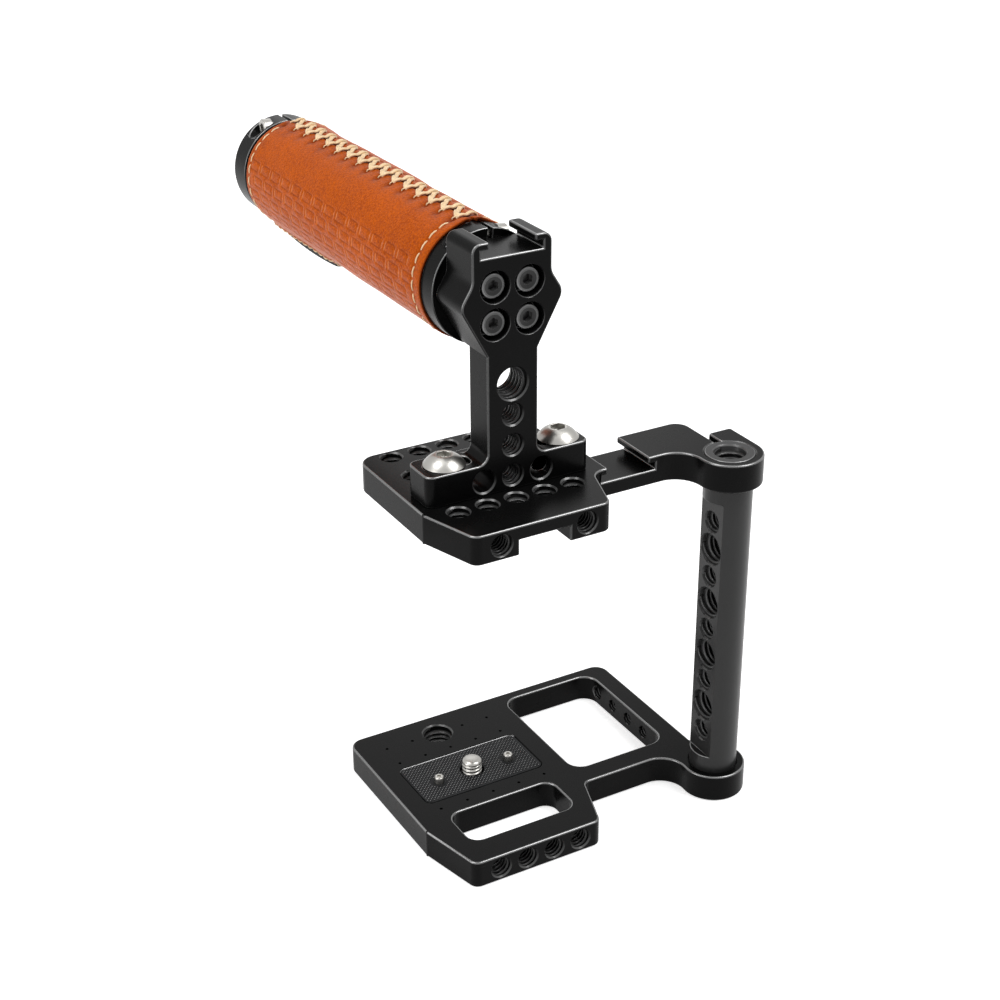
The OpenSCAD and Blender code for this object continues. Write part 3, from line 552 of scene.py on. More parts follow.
def turned(rows, key_r, key_depth, place, axis):
    """A turned piece with a six-sided hollow: rows of (radius, height along axis) go from its foot
    to its end, and the hollow's radius is key_r over the cosine of the angle from its flat."""
    t = circle(ROUND)
    flat = 1 / np.cos((t + np.pi / 6) % (np.pi / 3) - np.pi / 6)
    r = np.concatenate([[row[0] + 0 * t for row in rows], [key_r * flat, 0.9 * key_r * flat, 0 * t]])
    end = rows[-1][1]
    z = np.array([row[1] for row in rows] + [end - 0.02, end - key_depth, end - key_depth])
    u, v, w = frame_about(axis)
    spots = (np.asarray(place, float) + (r * np.cos(t))[..., None] * u + (r * np.sin(t))[..., None] * v
             + z[:, None, None] * w)
    return at(spots.reshape(-1, 3)), closed_quads(len(z), ROUND)


def keep_turned(node, parts, material, sheen):
    """Welds turned parts into one mesh, with an edge number, a painted highlight, for each row of faces, and
    keeps it.
    """
    mesh = mesh_of(node + "_turned", *joined(parts))
    mark(mesh, "edge", "FACE", np.tile(np.repeat(sheen, ROUND), len(parts)))
    welded(mesh).set_sharp_from_angle(angle=np.radians(38))
    keep(node + "_turned", mesh, material, BODY_OF[node], (node,))
    print(node, len(mesh.polygons), "faces")


for side, node in ((-PIN_X, "locating_pin_left"), (PIN_X, "locating_pin_right")):
    pin = turned(PIN, 0.62, 0.6, [COLUMN_X + side, PIN_Y, 0], UP)
    keep_turned(node, [pin], STEEL, [0] * (len(PIN) + 2))

caps_low, caps_high = ((np.array(c) - ROD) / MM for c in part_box("head_screws"))
CAP_SPACING, CAP_HEAD, CAP_SHANK = 10.7, 4.0, 2.0
cap_r = (caps_high[0] - caps_low[0] - CAP_SPACING) / 2
long = caps_high[1] - caps_low[1]
CAP = [(0, 0), (CAP_SHANK, 0), (CAP_SHANK, long - CAP_HEAD), (cap_r, long - CAP_HEAD), (cap_r, long - 0.65),
       (cap_r - 0.14, long - 0.22), (cap_r - 0.50, long), (cap_r - 0.95, long - 0.03), (2.0, long - 0.22)]
# painted highlight on the cap screws' rims and in their key hollows
CAP_SHEEN = [0, 0, 0, 0, 0.20, 0.50, 0.26, 0.04, 0.03, 0.5, 0.0]
caps = [turned(CAP, 1.5, 1.8, [(caps_low[0] + caps_high[0] + x * CAP_SPACING) / 2, caps_high[1],
                               (caps_low[2] + caps_high[2] + z * CAP_SPACING) / 2], FRONT)
        for x in (-1, 1) for z in (-1, 1)]
keep_turned("head_screws", caps, DARK_STEEL, CAP_SHEEN)

# %% [markdown]
# The camera screw is the one screw whose thread shows. Its plain solid is replaced by a turned
# surface: the radius follows a flat-topped wave that climbs one lead in each turn, then the
# shank ends in a domed tip. Below the pad the same surface runs on into its head.

# %% The camera screw
screw_foot, screw_top = ((corner[2] - ROD[2]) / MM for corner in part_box("camera_screw"))
SCREW_R, SCREW_LEAD, GROOVE = 3.17, 1.27, 0.40
DOME, DOME_CUT = 1.5, 1.1  # height of the domed tip, and what the radius loses there
SCREW_HEAD_R, SCREW_HEAD, HEAD_CORNER, HEAD_NECK_R = 6.4, 3.6, 0.3, 3.1


def turned_screw():
    """Radius over height and angle: the shank's, less a groove and less the cube of the way up the
    domed tip. The groove is a clipped triangle wave of height / lead - angle / 2 pi. The head is
    at the foot, and its corners are cut off."""
    head_top = screw_foot + SCREW_HEAD
    head = [screw_foot, screw_foot, screw_foot + HEAD_CORNER, head_top - HEAD_CORNER, head_top, head_top]
    head_r = [0, SCREW_HEAD_R - HEAD_CORNER, SCREW_HEAD_R, SCREW_HEAD_R, SCREW_HEAD_R - HEAD_CORNER,
              HEAD_NECK_R]
    z = np.concatenate([head, np.linspace(head_top + 0.02, screw_top, 76), [screw_top]])
    t = circle(64)
    phase = (z[:, None] / SCREW_LEAD - t[None, :] / (2 * np.pi)) % 1.0
    groove = GROOVE * np.clip(1.7 * (1 - 2 * np.abs(phase - 0.5)) - 0.5, 0, 1)
    tip = np.clip((z - (screw_top - DOME)) / DOME, 0, 1)
    threaded = (z > head_top) & (z < screw_top - DOME + 0.2)
    r = SCREW_R - groove * threaded[:, None] - DOME_CUT * (tip ** 3)[:, None]
    r[:len(head)] = np.array(head_r)[:, None]
    r[-1] = 0.0
    spots = np.stack([COLUMN_X + r * np.cos(t), SCREW_Y + r * np.sin(t), z[:, None] + 0 * t], -1)
    return at(spots.reshape(-1, 3)), closed_quads(*spots.shape[:2])


screw = welded(mesh_of("camera_screw_thread", *turned_screw()))
screw.set_sharp_from_angle(angle=np.radians(50))
keep("camera_screw_thread", screw, STEEL, "camera_screw", ("camera_screw",))
print("camera screw", len(screw.polygons), "faces")

# %% [markdown]
# The camera rests on a rubber pad moulded with small bumps in a diagonal grid. Each bump is a low
# dome of a few rings, and they are placed by one array operation, leaving out those that would
# hang over the pad's edge or over the holes of the screw and the two pins.

# %% The rubber pad
PAD_LOW, PAD_HIGH, PAD_CORNER = np.array([-90.3, 24.25]), np.array([-48.7, 44.55]), 2.2
SCREW_CLEAR, PIN_CLEAR = 4.2, 2.7
GLINT_FROM, GLINT_RANGE = 0.14, 0.10  # height above the pad's face where the painted highlight on the bumps begins


def rubber(name):
    """Dark grey rubber: slow dust noise lightens it, fine noise roughens it, and the tips of the bumps, which
    stand more than GLINT_FROM above the pad's face, get a painted highlight."""
    r = Recipe(name, Specular_IOR_Level=0.10)
    dust = r.noise(3.0, 4.0)
    fine = r.noise(0.15)
    height = r.node("ShaderNodeSeparateXYZ", {}, {"Vector": r.place()}, "Z")
    tip = ((height - (float(ROD[2]) + GLINT_FROM * MM)) * (1 / (GLINT_RANGE * MM))).clipped()
    base = r.blend(dust.clipped(), (0.008, 0.0085, 0.009), (0.018, 0.0185, 0.020))
    # painted highlight on the tips of the bumps
    base = r.blend(tip, base, (0.42, 0.42, 0.42))
    return r.feed(Base_Color=base, Roughness=fine * 0.2 + 0.35, Normal=r.bump(fine, 0.2, 0.02))


def rings(section, count):
    """Rings of count points about the Z axis, one for each (radius, height) of a section."""
    a = circle(count)
    return np.concatenate([np.stack([r * np.cos(a), r * np.sin(a), z + 0 * a], 1) for r, z in section])


def pin_washer(x, y, inner, outer, top):
    """A flat rubber ring that hides a pin's shoulder: a section of four corners, closed."""
    section = ((inner, 0.02), (inner, top), (outer, top), (outer + 0.1, -0.05), (inner, 0.02))
    return at(rings(section, 24) + [x, y, 0]), closed_quads(len(section), 24)


def dimples(step, radius, height):
    """Low domes on a diagonal grid: rows half a step apart, every other one shifted."""
    nx, ny = ((PAD_HIGH - PAD_LOW) / [step, step / 2]).astype(int)
    i, j = np.meshgrid(np.arange(nx), np.arange(ny), indexing="ij")
    spot = PAD_LOW + np.stack([step * (i + 0.5 + 0.5 * (j % 2)), step / 2 * (j + 0.5)], -1).reshape(-1, 2)
    clear = np.hypot(*(spot - [COLUMN_X, SCREW_Y]).T) > SCREW_CLEAR
    for side in (-PIN_X, PIN_X):
        clear &= np.hypot(*(spot - [COLUMN_X + side, PIN_Y]).T) > PIN_CLEAR
    edge = radius + 0.1
    corner = np.minimum(spot - PAD_LOW, PAD_HIGH - spot)
    clear &= (corner > edge).all(1)
    clear &= ~((corner < PAD_CORNER).all(1) & (np.hypot(*(PAD_CORNER - corner).T) > PAD_CORNER - edge))
    spot = spot[clear]
    dome = ((radius, -0.05), (radius, 0.0), (0.7 * radius, 0.7 * height), (0.0, height))
    points = np.pad(spot, ((0, 0), (0, 1)))[:, None, :] + rings(dome, 8)[None]
    quads = closed_quads(len(dome), 8)[None] + (np.arange(len(spot)) * points.shape[1])[:, None, None]
    return at(points.reshape(-1, 3)), quads.reshape(-1, 4)


RUBBER = rubber("pad_rubber")
rounded(merged("grip_pad", RUBBER), 0.15)
washers = [pin_washer(COLUMN_X + side, PIN_Y, inner=1.47, outer=2.25, top=0.09) for side in (-PIN_X, PIN_X)]
bumps = welded(mesh_of("pad_dimples", *joined([dimples(step=1.3, radius=0.27, height=0.25)] + washers)))
keep("pad_dimples", bumps, RUBBER, "base")
print("pad with", len(bumps.polygons), "small faces")

# %% [markdown]
# The rail's face is slightly arched along the handle. Its copy is cut across at even places and
# the low face is lifted by the sag of a circle, so both ends stand less proud than the middle.

# %% The arched rail
CROWN_R, RAIL_ROOT, RAIL_CUTS = 190.0, 17.0, 9


def arched(piece):
    """Lifts what lies below the rail's root by dy * dy / (2 * CROWN_R), fading in with depth."""
    mesh = piece.data
    middle = at([POST_X, RAIL_Y, HANDLE_Z])
    bm = bmesh.new()
    bm.from_mesh(mesh)
    for y in np.linspace(-1, 1, RAIL_CUTS + 2)[1:-1] * RAIL_L / 2:
        bmesh.ops.bisect_plane(bm, geom=list(bm.verts) + list(bm.edges) + list(bm.faces), dist=1e-6,
                               plane_co=middle + np.array([0, y, 0]) * MM, plane_no=(0, 1, 0))
    bm.to_mesh(mesh)
    bm.free()
    places = read(mesh.vertices, "co", 3)
    low = np.clip((middle[2] - places[:, 2] - RAIL_ROOT * MM) / ((RAIL_FACE - RAIL_ROOT) * MM), 0, 1)
    places[:, 2] += low * (places[:, 1] - middle[1]) ** 2 / (2 * CROWN_R * MM)
    mesh.vertices.foreach_set("co", places.ravel())
    return piece


rounded(arched(merged("accessory_rail", BLACK)), 0.3)
print("rail arched")

# %% [markdown]
# The hide is one sheet wrapped round the grip, its edges drawn together along the top. It is a
# surface of two parameters, the angle round the handle and the distance along it. Small frames
# are pressed into both flanks with a stamp, in rows that lie half a step apart, so the height of
# the surface drops in a narrow valley along the outline of each rounded rectangle. The functions
# below say where a place lies from the stamped frames, the lace holes and the rail's opening.

# %% Places on the hide
SEAM = np.degrees(0.45 / LEATHER_R)
TILE_PITCH, TILE_COUNT = 8.04, 14
TILE_HALF, TILE_CORNER = np.array([3.12, 1.47]), 0.85
TILE_ROWS = ((69.8, 43.5), (85.1, 39.6), (101.6, 43.5), (117.6, 39.6))  # angle, first frame's middle
VALLEY = 0.34
STITCH_Y = (36.1, 151.9)
LACES, LACE_STEP, LACE_START, LACE_TURN, HOLE_OUT = 15, 7.643, 36.8, 12.5, 0.5
OPEN_EDGE, OPEN_CORNER, RIM = 1.2, 2.5, 2.2
OPEN_HALF = np.array([RAIL_L / 2 + OPEN_EDGE, RAIL_W / 2 + OPEN_EDGE])


def bell(x, width):
    """1 at 0, falling to both sides as exp(-(x / width)^2)."""
    return np.exp(-(x / width) ** 2)


def fading(x, width):
    """1 up to 0, and exp(-x / width) beyond."""
    return np.exp(-np.clip(x, 0, None) / width)


def ease(x):
    """0 below 0, 1 above 1, and 3 x^2 - 2 x^3 between."""
    x = np.clip(x, 0, 1)
    return x * x * (3 - 2 * x)


def box_away(along, across, half, corner):
    """Distance from a rounded rectangle's outline, negative inside it."""
    q = np.stack(np.broadcast_arrays(np.abs(along) - half[0] + corner, np.abs(across) - half[1] + corner))
    return np.hypot(*np.maximum(q, 0)) + np.minimum(q.max(0), 0) - corner


def from_frames(angle, y):
    """For each row of stamped frames, how far a place is from the middle of the nearest one, along
    the handle and round it, in millimetres."""
    for turn, middle in TILE_ROWS:
        step = np.clip(np.round((y - middle) / TILE_PITCH), 0, TILE_COUNT - 1)
        yield y - middle - step * TILE_PITCH, np.radians(np.abs(angle) - turn) * LEATHER_R


def tile_depth(angle, y):
    """Valley depth of the stamp: 1 on the outline of the nearest rectangle, 0 beyond the valley."""
    depth = 0.0
    for along, across in from_frames(angle, y):
        away = box_away(along, across, TILE_HALF, TILE_CORNER)
        depth = np.maximum(depth, np.clip(1 - np.abs(away) / VALLEY, 0, 1))
    return depth


def lace_hole(angle, y, wide, long):
    """A bump of 1 at each lace hole, wide round the handle and long along it, in millimetres."""
    k = np.clip(np.round((y - LACE_START) / LACE_STEP), 0, LACES)
    arc = np.radians(np.abs(angle) - LACE_TURN) * LEATHER_R
    return bell(arc - HOLE_OUT, wide) * bell(y - LACE_START - k * LACE_STEP, long)


def opening_away(angle, y):
    """Distance outwards from the edge of the rail's opening, under the grip."""
    across = np.radians(180 - np.abs(angle)) * LEATHER_R
    return np.clip(box_away(y - RAIL_Y, across, OPEN_HALF, OPEN_CORNER), 0, None)


def from_ends(y):
    """Distance from the nearer end of the hide."""
    return np.minimum(y - GRIP_FRONT, GRIP_BACK - y)


print("rows of frames at", [turn for turn, middle in TILE_ROWS], "degrees")

# %% [markdown]
# A hide is never a true cylinder. Its radius is that of the handle, and tools and hands added to
# it and took from it: the lacing pulls dents, the hide swells beside its seam, and the opening
# makes its rim stand out. Most marks are one bell or one fading edge with a depth and a width,
# in millimetres or, where the name says so, in degrees, so each can be changed by itself.

# %% The hide's shape
STAMP_DEPTH = 0.24
STITCH_DEPTH, STITCH_WIDTH = 0.22, 0.7
HOLE_DEPTH, HOLE_WIDTH = 0.50, 0.9
DENT_DEPTH, DENT_ROUND, DENT_ALONG = 0.22, 2.6, 1.8
SEAM_SWELL, SWELL_AT, SWELL_WIDTH = 0.16, 2.2, 1.6
SEAM_DROP, DROP_AT, DROP_WIDTH = 0.40, 0.4, 0.5
FLANK_DEG, FLANK_WIDTH_DEG = 42, 26.0
FAR_SWELL, FAR_FROM, FAR_LONG = 0.45, 138, 10
NEAR_SAG, NEAR_TO, NEAR_LONG = 0.60, 84, 12
FLARE, FLARE_DEG, FLARE_LONG = 0.70, 14.0, 2.6
RIM_SWELL, RIM_AT, RIM_WIDTH = 0.75, 1.4, 1.7
LIP_DROP, LIP_WIDTH = 0.5, 0.35
END_DROP, END_WIDTH = 0.22, 0.25
UNEVEN = ((0.06, 3, 0.11), (0.05, 7, -0.23))  # height, waves round the handle, radians in a millimetre


def hide_radius(angle, y):
    """Radius of the hide: LEATHER_R, less the stamp, the stitch grooves and the lace holes with
    their dents; plus the swell beside the seam, a swell and a sag of the right flank, the flare of
    the near end, the proud rim of the opening, and a slow unevenness of sine waves."""
    r = LEATHER_R - STAMP_DEPTH * tile_depth(angle, y)
    r = r - STITCH_DEPTH * sum(bell(y - place, STITCH_WIDTH) for place in STITCH_Y)
    r = r - HOLE_DEPTH * lace_hole(angle, y, HOLE_WIDTH, HOLE_WIDTH)
    r = r - DENT_DEPTH * lace_hole(angle, y, DENT_ROUND, DENT_ALONG)
    arc = np.radians(np.abs(angle)) * LEATHER_R
    r = r + SEAM_SWELL * bell(arc - SWELL_AT, SWELL_WIDTH) - SEAM_DROP * fading(arc - DROP_AT, DROP_WIDTH)
    flank = FAR_SWELL * ease((y - FAR_FROM) / FAR_LONG) - NEAR_SAG * ease((NEAR_TO - y) / NEAR_LONG)
    r = r + bell(angle - FLANK_DEG, FLANK_WIDTH_DEG) * flank
    r = r + FLARE * bell(angle, FLARE_DEG) * bell(y - GRIP_FRONT, FLARE_LONG)
    away = opening_away(angle, y)
    r = r + RIM_SWELL * bell(away - RIM_AT, RIM_WIDTH) - LIP_DROP * fading(away, LIP_WIDTH)
    r = r - END_DROP * fading(from_ends(y), END_WIDTH)
    for height, waves, lean in UNEVEN:
        r = r + height * np.sin(np.radians(angle) * waves + y * lean)
    return r


print("hide: radius %.1f mm, %d frames a row" % (LEATHER_R, TILE_COUNT))

# %% [markdown]
# The grid lines of the sheet are close together where the stamp's outlines run and wide apart on
# the plain hide, so the detail costs few faces. Faces over the rail's opening are left out, and
# Solidify gives the sheet its thickness inwards.

# %% The hide's mesh


def lines(low, high, marks, fine, coarse):
    """Sorted grid lines from low to high: offsets fine about every mark, coarse ones elsewhere,
    and none closer to its neighbour than a tenth of coarse."""
    near = (np.asarray(marks)[:, None] + np.asarray(fine)[None, :]).ravel()
    base = np.linspace(low, high, int((high - low) / coarse) + 2)
    base = base[np.abs(base[:, None] - near[None, :]).min(1) > 0.5 * coarse]
    every = np.sort(np.concatenate([base, near, [low, high]]))
    every = every[(every >= low) & (every <= high)]
    return every[np.concatenate([[True], np.diff(every) > 0.09 * coarse])]


def around(angle, y, radius):
    """A place on the handle: angle from the top towards +X, distance y, radius from the axis."""
    a = np.radians(angle)
    return np.stack([POST_X + radius * np.sin(a), y + 0 * a, HANDLE_Z + radius * np.cos(a)], -1)


MM_TURN = np.degrees(1 / LEATHER_R)
sides = np.array([-1, 1])
valley = np.array([-VALLEY, 0.0, VALLEY])
frame_y = [middle + step * TILE_PITCH + side * TILE_HALF[0]
           for middle in (43.5, 39.6) for side in sides for step in range(TILE_COUNT)]
open_y = RAIL_Y + OPEN_HALF[0] * sides
open_turn = OPEN_HALF[1] * MM_TURN
hide_y = lines(GRIP_FRONT, GRIP_BACK, frame_y, valley, 1.15)
hide_y = np.unique(np.concatenate([hide_y, open_y, open_y - 0.4, open_y + 0.4,
                                   GRIP_FRONT + np.array([0.2, 0.5]), GRIP_BACK - np.array([0.5, 0.2])]))
frame_turn = [turn + side * TILE_HALF[1] * MM_TURN for turn, middle in TILE_ROWS for side in sides]
half_turn = lines(SEAM, 180.0, frame_turn, valley * MM_TURN, 3.4)
half_turn = np.unique(np.concatenate([half_turn, SEAM + np.array([0.5, 1.2, 2.4, 4.0, 8.0, 12.0, 14.5]),
                                      180 - open_turn + MM_TURN * np.array([-0.4, 0, 0.4])]))
hide_angle = np.concatenate([half_turn, 360.0 - half_turn[::-1][1:]])[:, None]
signed = np.where(hide_angle > 180, hide_angle - 360, hide_angle)
spots = around(hide_angle, hide_y, hide_radius(signed, hide_y))
rows, cols = spots.shape[:2]
i, j = np.meshgrid(np.arange(rows - 1), np.arange(cols - 1), indexing="ij")
mid_angle, mid_y = (hide_angle[:-1] + hide_angle[1:]) / 2, (hide_y[:-1] + hide_y[1:]) / 2
cut = (np.abs(mid_angle - 180) < open_turn) & (mid_y > open_y[0]) & (mid_y < open_y[1])
quads = np.stack([i * cols + j, (i + 1) * cols + j, (i + 1) * cols + j + 1, i * cols + j + 1], -1)[~cut]
hide_mesh = mesh_of("leather_hide", at(spots.reshape(-1, 3)), quads)
print("hide grid %d x %d, %d faces" % (rows, cols, len(quads)))

# %% [markdown]
# Tanned hide is orange-brown. Shade is painted darker where the surface dips: in the stamped outlines, beside
# the lace holes, near the seam and along its cut edges. The short sides of the stamped frames get a painted
# highlight. Those places are known from the shape, so the mesh carries them as a number of painted shade and
# highlight, and the material mixes a dark, a warm and a pale tone by it, with grain and pores as bump.

# %% The hide's material


def tile_side_highlight(angle, y):
    """1 on the short sides of the stamped frames, which run round the handle, where a highlight is painted.
    """
    pale = 0.0
    for along, across in from_frames(angle, y):
        side = np.clip(1 - np.abs(np.abs(along) - TILE_HALF[0]) / VALLEY, 0, 1)
        pale = np.maximum(pale, side * np.clip((1.35 - np.abs(across)) / 0.4, 0, 1))
    return pale


def hide_shade_and_highlight(angle, y):
    """Painted shade and highlight: up to 1 of painted shade on stamp outlines, by the seam and the lace
    holes, in stitch rows and along edges, and down to -1 of painted highlight on the stamp's short sides."""
    arc = np.radians(np.abs(angle)) * LEATHER_R
    shade_and_highlight = 0.50 * tile_depth(angle, y) + 0.75 * lace_hole(angle, y, 2.2, 1.6) + 0.35 * fading(arc - 1, 2.5)
    shade_and_highlight = shade_and_highlight + 0.30 * sum(bell(y - place, 1.1) for place in STITCH_Y)
    shade_and_highlight = shade_and_highlight + 0.8 * fading(from_ends(y), 0.3) + 0.5 * fading(opening_away(angle, y), 1.2)
    return np.clip(shade_and_highlight - 1.6 * tile_side_highlight(angle, y), -1, 1)


def tanned(name):
    """Two tones mixed by three sizes of noise, with painted shade where shade_and_highlight is positive and a
    painted highlight where it is negative; cell noise for pores."""
    r = Recipe(name, Specular_IOR_Level=0.05)
    shade_and_highlight = r.attribute("shade_and_highlight")
    slow = r.noise(16.0, 4.0)
    mottle = r.noise(2.6, 5.0, rough=0.65)
    pores = r.node("ShaderNodeTexVoronoi", {"feature": "DISTANCE_TO_EDGE"},
                   {"Vector": r.place(), "Scale": 1.0 / (0.9 * MM)}, "Distance")
    grain = r.noise(0.55)
    tone = (slow * 0.5 + mottle * 0.5 + grain * 1.7 - 0.85).clipped()
    base = r.blend(tone, (0.275, 0.038, 0.001), (0.645, 0.120, 0.004))
    # painted shade where the number is positive, and below it a painted highlight where it is negative
    base = r.blend((shade_and_highlight * 0.85).clipped(), base, (0.115, 0.018, 0.005))
    base = r.blend((shade_and_highlight * -0.6).clipped(), base, (0.90, 0.42, 0.20))
    height = pores * 2.0 + mottle * 0.5 + grain * 1.2
    return r.feed(Base_Color=base, Roughness=mottle * 0.22 + 0.25 + shade_and_highlight * 0.1,
                  Normal=r.bump(height, 0.6, 0.10))


LEATHER = tanned("tan_leather")
mark(hide_mesh, "shade_and_highlight", "POINT", hide_shade_and_highlight(signed, hide_y))
hide = keep("leather_hide", hide_mesh, LEATHER, "grip", ("leather_sleeve",))
sheet = hide.modifiers.new("thickness", "SOLIDIFY")
sheet.thickness, sheet.offset = (LEATHER_T - 0.05) * MM, -1.0
sheet.use_even_offset = False
print("hide made")

# %% [markdown]
# All thread on the handle is waxed yarn. A strand is a tube: an ellipse is carried along a path,
# and its plies are a ripple of the ellipse's radius that turns along the way. One function
# carries the ellipse, for the lacing and for every stitch.

# %% Threads of the handle


def yarn(path, half_width, half_height, plies=3, twist_mm=2.2, sides=8, ripple=0.12):
    """A tube along path, an (n, 3) array. The cross-section is an ellipse lying on the handle:
    its height points away from the handle's axis. Plies ripple the radius, and it closes to a
    round end over 1.2 half widths."""
    tangent = np.gradient(path, axis=0)
    tangent /= np.linalg.norm(tangent, axis=1, keepdims=True)
    out = path - np.array([POST_X, 0, HANDLE_Z])
    out[:, 1] = 0
    out /= np.linalg.norm(out, axis=1, keepdims=True)
    side = np.cross(tangent, out)
    side /= np.linalg.norm(side, axis=1, keepdims=True)
    out = np.cross(side, tangent)
    length = np.concatenate([[0], np.cumsum(np.linalg.norm(np.diff(path, axis=0), axis=1))])
    a = circle(sides)
    wave = 1 + ripple * np.cos(plies * (a[None, :] + 2 * np.pi * length[:, None] / (plies * twist_mm)))
    end = np.clip(np.minimum(length, length[-1] - length) / (1.2 * half_width), 0, 1)
    size = wave * np.sqrt(1 - (1 - end) ** 2)[:, None]
    points = (path[:, None] + (half_width * size * np.cos(a))[..., None] * side[:, None]
              + (half_height * size * np.sin(a))[..., None] * out[:, None])
    return at(points.reshape(-1, 3)), closed_quads(len(path), sides)


def waxed_thread(name):
    """Pale tan yarn: fibres are fine noise, grubby patches slow noise."""
    r = Recipe(name, Specular_IOR_Level=0.35, Sheen_Weight=0.2)
    fibre = r.noise(0.25, 3.0)
    slow = r.noise(4.0)
    base = r.blend((fibre * 0.6 + slow * 0.5 - 0.1).clipped(), (0.72, 0.480, 0.250), (0.95, 0.760, 0.500))
    return r.feed(Base_Color=base, Roughness=fibre * 0.25 + 0.42, Normal=r.bump(fibre, 0.4, 0.05))


THREAD = waxed_thread("lace_thread")
print("yarn ready")

# %% [markdown]
# The lace zigzags over the seam. From each hole on the left one ribbon slants back to the next
# hole on the right, and another goes straight across over it. Each ribbon is written as a few
# knots, and its plies run side by side along it. A short tail dips into each hole on the left.

# %% The lacing
# Knots: angle from the top, distance along the handle from the ribbon's start, lift off the hide.
SLANT = np.array([[-9.2, 0.1, -0.6], [-8.0, 0.3, 0.20], [-5.6, 1.7, 0.42], [-2.5, 3.3, 0.42],
                  [1.0, 4.3, 0.40], [6.0, 6.0, 0.40], [10.5, 7.2, 0.40], [12.6, 7.5, -0.8]])
ACROSS = np.array([[-9.2, 0.0, -0.6], [-8.1, -0.25, 0.25], [-5.8, -0.6, 0.60], [-2.0, -0.7, 0.72],
                   [2.0, -0.7, 0.90], [7.0, -0.6, 1.00], [10.8, -0.3, 0.75], [12.8, 0.0, -0.8]])
TAIL = np.array([[-8.4, 0.0, 0.10], [-10.4, 0.1, 0.22], [-12.2, 0.3, 0.30], [-13.2, 0.5, -0.1]])
PLIES, PLY_GAP, NARROW = 4, 0.35, 0.45


def lace_plies(knots, start):
    """A ribbon of plies through knots, from start on. The plies run side by side, half a ribbon
    each way from its middle line, and close up to NARROW of their gap at the ends."""
    u = np.linspace(0, 1, 27)
    at_knot = np.linspace(0, 1, len(knots))
    soft = np.array([0.25, 0.5, 0.25])
    angle, y, lift = (np.interp(u, at_knot, column) for column in knots.T)
    angle, y, lift = (np.concatenate([v[:1], np.convolve(v, soft, "valid"), v[-1:]])
                      for v in (angle, y, lift))
    y = y + start
    run = np.stack([np.gradient(np.radians(angle) * LEATHER_R), np.gradient(y)])
    run /= np.hypot(*run)
    close = NARROW + (1 - NARROW) * ease(np.minimum(u, 1 - u) / 0.25)
    plies = []
    for k in range(PLIES):
        off = (k - (PLIES - 1) / 2) * PLY_GAP * close
        a = angle + np.degrees(-off * run[1] / LEATHER_R)
        along = np.clip(y + off * run[0], GRIP_FRONT + 0.3, GRIP_BACK - 0.3)
        plies.append(around(a, along, hide_radius(a, along) + lift))
    return plies


starts = [LACE_START + LACE_STEP * k for k in range(LACES)]
ribbons = [(SLANT, start) for start in starts] + [(ACROSS, start) for start in starts]
ribbons += [(ACROSS * [0.8, 1.0, 1.0] + [2.0, 0.0, 0.0], LACE_START + LACE_STEP * LACES + 0.5)]
strands = [yarn(ply, 0.245, 0.33) for knots, start in ribbons for ply in lace_plies(knots, start)]
strands += [yarn(lace_plies(TAIL, start)[1], 0.2, 0.2) for start in starts]
laces = welded(mesh_of("laces", *joined(strands)))
keep("laces", laces, THREAD, "grip", ("lacing",))
print(len(ribbons), "ribbons of", PLIES, "plies")

# %% [markdown]
# Rows of running stitch hold the hide's folded ends and the rim of the rail's opening. Each
# stitch is a short strand that rises from one hole and dips into the next.

# %% Running stitches
END_SHARE, RIM_SHARE = 0.88, 0.86  # how much of a step its stitch fills
STITCH_RISE, STITCH_SUNK = 0.50, 0.28


def stitch(start, end):
    """A strand between two (angle, y) places: its radius follows a half sine over the hide."""
    u = np.linspace(0, 1, 11)
    angle = start[0] + (end[0] - start[0]) * u
    angle = (angle + 180) % 360 - 180
    y = start[1] + (end[1] - start[1]) * u
    lift = STITCH_RISE * np.sin(np.pi * u) ** 0.5 - STITCH_SUNK
    return around(angle, y, hide_radius(angle, y) + lift)


def row_of_stitches(marks, share, place):
    """A stitch from each mark over a share of the way to the next; place turns a mark into
    (angle, y)."""
    return [stitch(place(a), place(a + share * (b - a))) for a, b in zip(marks[:-1], marks[1:])]


rim_turn = (OPEN_HALF[1] + RIM) * MM_TURN
rim_y = RAIL_Y + (OPEN_HALF[0] + RIM) * sides
stitches = []
for y in STITCH_Y:
    stitches += row_of_stitches(np.linspace(17, 343, 26), END_SHARE, lambda turn: (turn, y))
for side in sides:
    stitches += row_of_stitches(np.linspace(*rim_y, 13), RIM_SHARE, lambda y: (180 + side * rim_turn, y))
for y in rim_y:
    stitches += row_of_stitches(180 + rim_turn * np.linspace(-1, 1, 7), RIM_SHARE, lambda turn: (turn, y))
strands = [yarn(path, 0.28, 0.24, plies=2, twist_mm=1.2) for path in stitches]
keep("stitches", welded(mesh_of("stitches", *joined(strands))), THREAD, "grip")
print(len(stitches), "stitches")

# %% [markdown]
# The plastic core shows only as a dark line in the seam and round the rail, so it keeps its
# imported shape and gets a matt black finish.

# %% The core


def moulded(name):
    """Matt black moulded plastic with a fine spark-eroded grain."""
    r = Recipe(name, Specular_IOR_Level=0.4)
    grain = r.noise(0.2, 3.0)
    base = r.blend(grain.clipped(), (0.010, 0.010, 0.010), (0.022, 0.022, 0.022))
    return r.feed(Base_Color=base, Roughness=grain * 0.2 + 0.5, Normal=r.bump(grain, 0.3, 0.03))


rounded(merged("grip_core", moulded("core_plastic")), 0.2)
print("core made")

# %% [markdown]
# The cage stands on a plain pale floor that runs out of sight. Floor and world are white for what
# looks at them, directly or in a mirror, and add next to no light of their own. The light comes
# from large soft lamps. The floor glows a little less near the cage, which leaves room for its
# shadow.

# %% Floor and world
LOOKING_RAYS = ("Is Camera Ray", "Is Glossy Ray", "Is Transmission Ray")
FLOOR_HALF, FLOOR_DROP, WORLD_LIGHT = 6.0, 0.0002, 0.07


